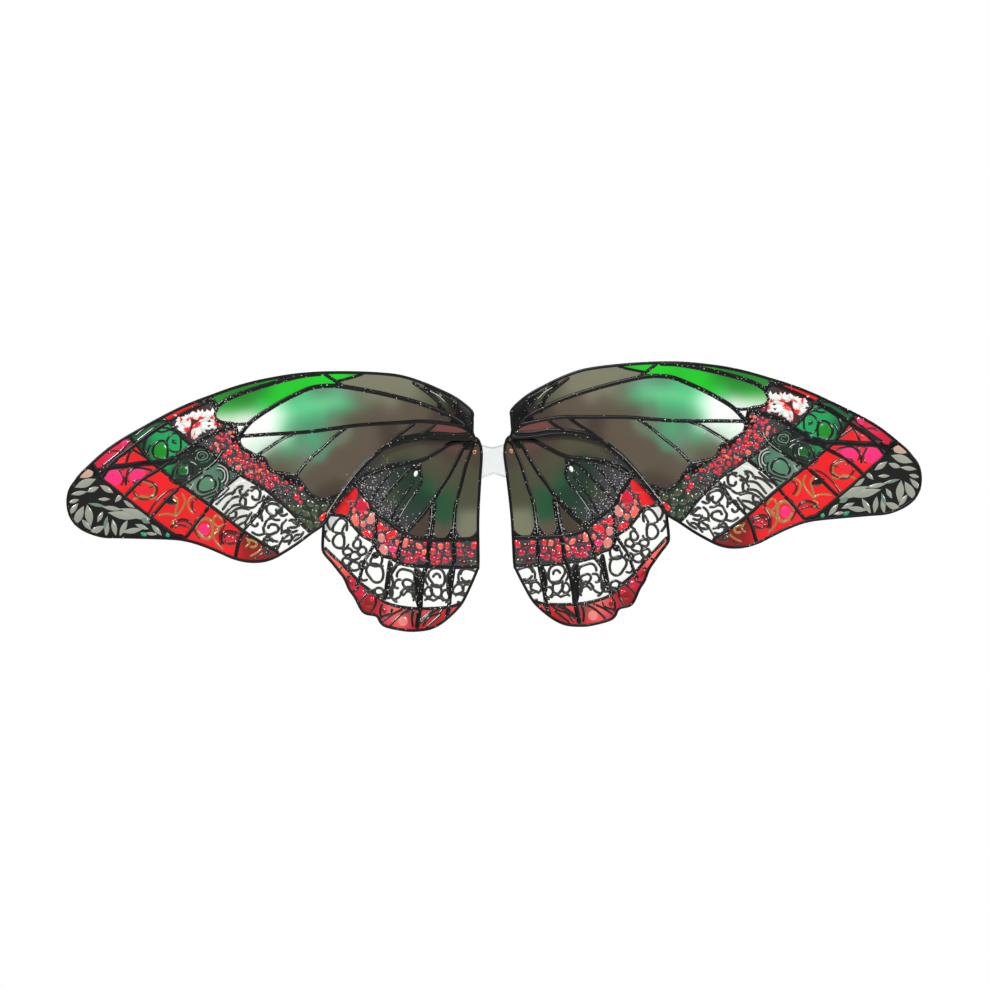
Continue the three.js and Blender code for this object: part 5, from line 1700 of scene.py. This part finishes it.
for side, hand in zip(SIDES, (1, -1)):
    corners, faces = [], []
    route = smooth(ROUTE, 1.8)
    sweep(corners, faces, route, False, hand)
    for low, high in WRAPS:
        sweep(corners, faces, rounded_wrap(low, high), True, hand)
    for low, high in SEWN:
        stitched_box(corners, faces, low, high, hand)
    mesh = bpy.data.meshes.new(f"shoulder_strap_webbing_{side}")
    mesh.from_pydata(corners, [], faces)
    mesh.shade_smooth()
    mesh.set_sharp_from_angle(angle=math.radians(70))
    strap = put(mesh, mesh.name, "harness", f"shoulder_strap_{side}", "elastic_webbing")
    length = sum((b - a).length for a, b in zip(route, route[1:]))
print(f"each strap's loop is {length:.0f} mm long")

# %% [markdown]
# ## Studio
# The wings are shown as in a shop window: straight on, with soft light from all sides, on a plain white
# ground. The room's white is bright to look at but gives only a little light, which keeps the black
# leading black. A long lens stands well back, so that both wings look equally wide.

# %% Floor
FLOOR_HEIGHT = -0.75
FLOOR_RADIUS = 1.5
FLOOR_SIDES = 128
floor_mesh = bpy.data.meshes.new("studio_floor")
outline = arc((0, 0), FLOOR_RADIUS, spacing=math.tau * FLOOR_RADIUS / FLOOR_SIDES)
rim_points = [(*point, FLOOR_HEIGHT) for point in outline]
floor_mesh.from_pydata(rim_points, [], [tuple(range(len(rim_points)))])
floor = bpy.data.objects.new("studio_floor", floor_mesh)
bpy.context.scene.collection.objects.link(floor)
paper, tree, shader = new_material("studio_paper")
surface = placed_group(tree, uneven, Grain_per_metre=40, Smoothest=0.85, Roughest=0.95)
whites = blend_colour(tree, surface.outputs["Cloud"], (0.8, 0.8, 0.8), (0.84, 0.84, 0.84))
tree.links.new(whites, shader.inputs["Base Color"])
tree.links.new(surface.outputs["Roughness"], shader.inputs["Roughness"])
floor_mesh.materials.append(paper)
print("floor lies", -FLOOR_HEIGHT, "m below the model's zero")

# %% Soft lights
LIT_MIDDLE = Vector((0, 0, -0.05))  # every lamp is turned towards it
for name, spot, width, height, power in [
    ("key_softbox", (-1.3, -2.2, 2.0), 0.7, 0.5, 62),
    ("fill_softbox", (1.9, -2.3, 1.2), 0.6, 0.6, 36),
    ("rear_key_softbox", (1.4, 2.2, 1.9), 0.8, 0.6, 55),
    ("rear_fill_softbox", (-1.8, 2.0, 0.9), 0.8, 0.8, 26),
]:
    light = bpy.data.lights.new(name, "AREA")
    light.shape = "RECTANGLE"
    light.size = width
    light.size_y = height
    light.energy = power
    lamp = bpy.data.objects.new(name, light)
    lamp.location = spot
    lamp.rotation_euler = (LIT_MIDDLE - Vector(spot)).to_track_quat("-Z", "Y").to_euler()
    bpy.context.scene.collection.objects.link(lamp)
    print(name, power, "W")

# %% White room
world = bpy.data.worlds.new("studio_world")
world.use_nodes = True
air = world.node_tree
paper_white = air.nodes["Background"]
paper_white.inputs["Color"].default_value = (1.0, 1.0, 1.0, 1)
paper_white.inputs["Strength"].default_value = 1.0
room_light = air.nodes.new("ShaderNodeBackground")
room_light.inputs["Strength"].default_value = 0.34
seen = air.nodes.new("ShaderNodeLightPath")
either = air.nodes.new("ShaderNodeMixShader")
direct = math_node(air, "MAXIMUM", seen.outputs["Is Camera Ray"], seen.outputs["Is Transmission Ray"])
air.links.new(direct, either.inputs[0])
air.links.new(room_light.outputs[0], either.inputs[1])
air.links.new(paper_white.outputs[0], either.inputs[2])
air.links.new(either.outputs[0], air.nodes["World Output"].inputs[0])
bpy.context.scene.world = world
bpy.context.scene.view_settings.view_transform = "Standard"
print("the room gives", room_light.inputs["Strength"].default_value, "of the light that its white shows")

# %% Camera
SENSOR_WIDTH = 36
CAMERA_DISTANCE = 6.5
VIEW_WIDTH = 1.089  # metres across at the wings
CAMERA_ROLL = -1.71  # degrees
CAMERA_PLACE = (0.0008, -CAMERA_DISTANCE, -0.038)
camera = bpy.data.objects.new("camera", bpy.data.cameras.new("camera"))
camera.data.sensor_width = SENSOR_WIDTH
camera.data.lens = SENSOR_WIDTH * CAMERA_DISTANCE / VIEW_WIDTH
camera.data.clip_end = 60
turn = Matrix.Rotation(math.radians(90), 4, "X") @ Matrix.Rotation(math.radians(CAMERA_ROLL), 4, "Z")
camera.matrix_world = Matrix.Translation(CAMERA_PLACE) @ turn
bpy.context.scene.collection.objects.link(camera)
bpy.context.scene.camera = camera
print("camera lens", round(camera.data.lens, 1), "mm")
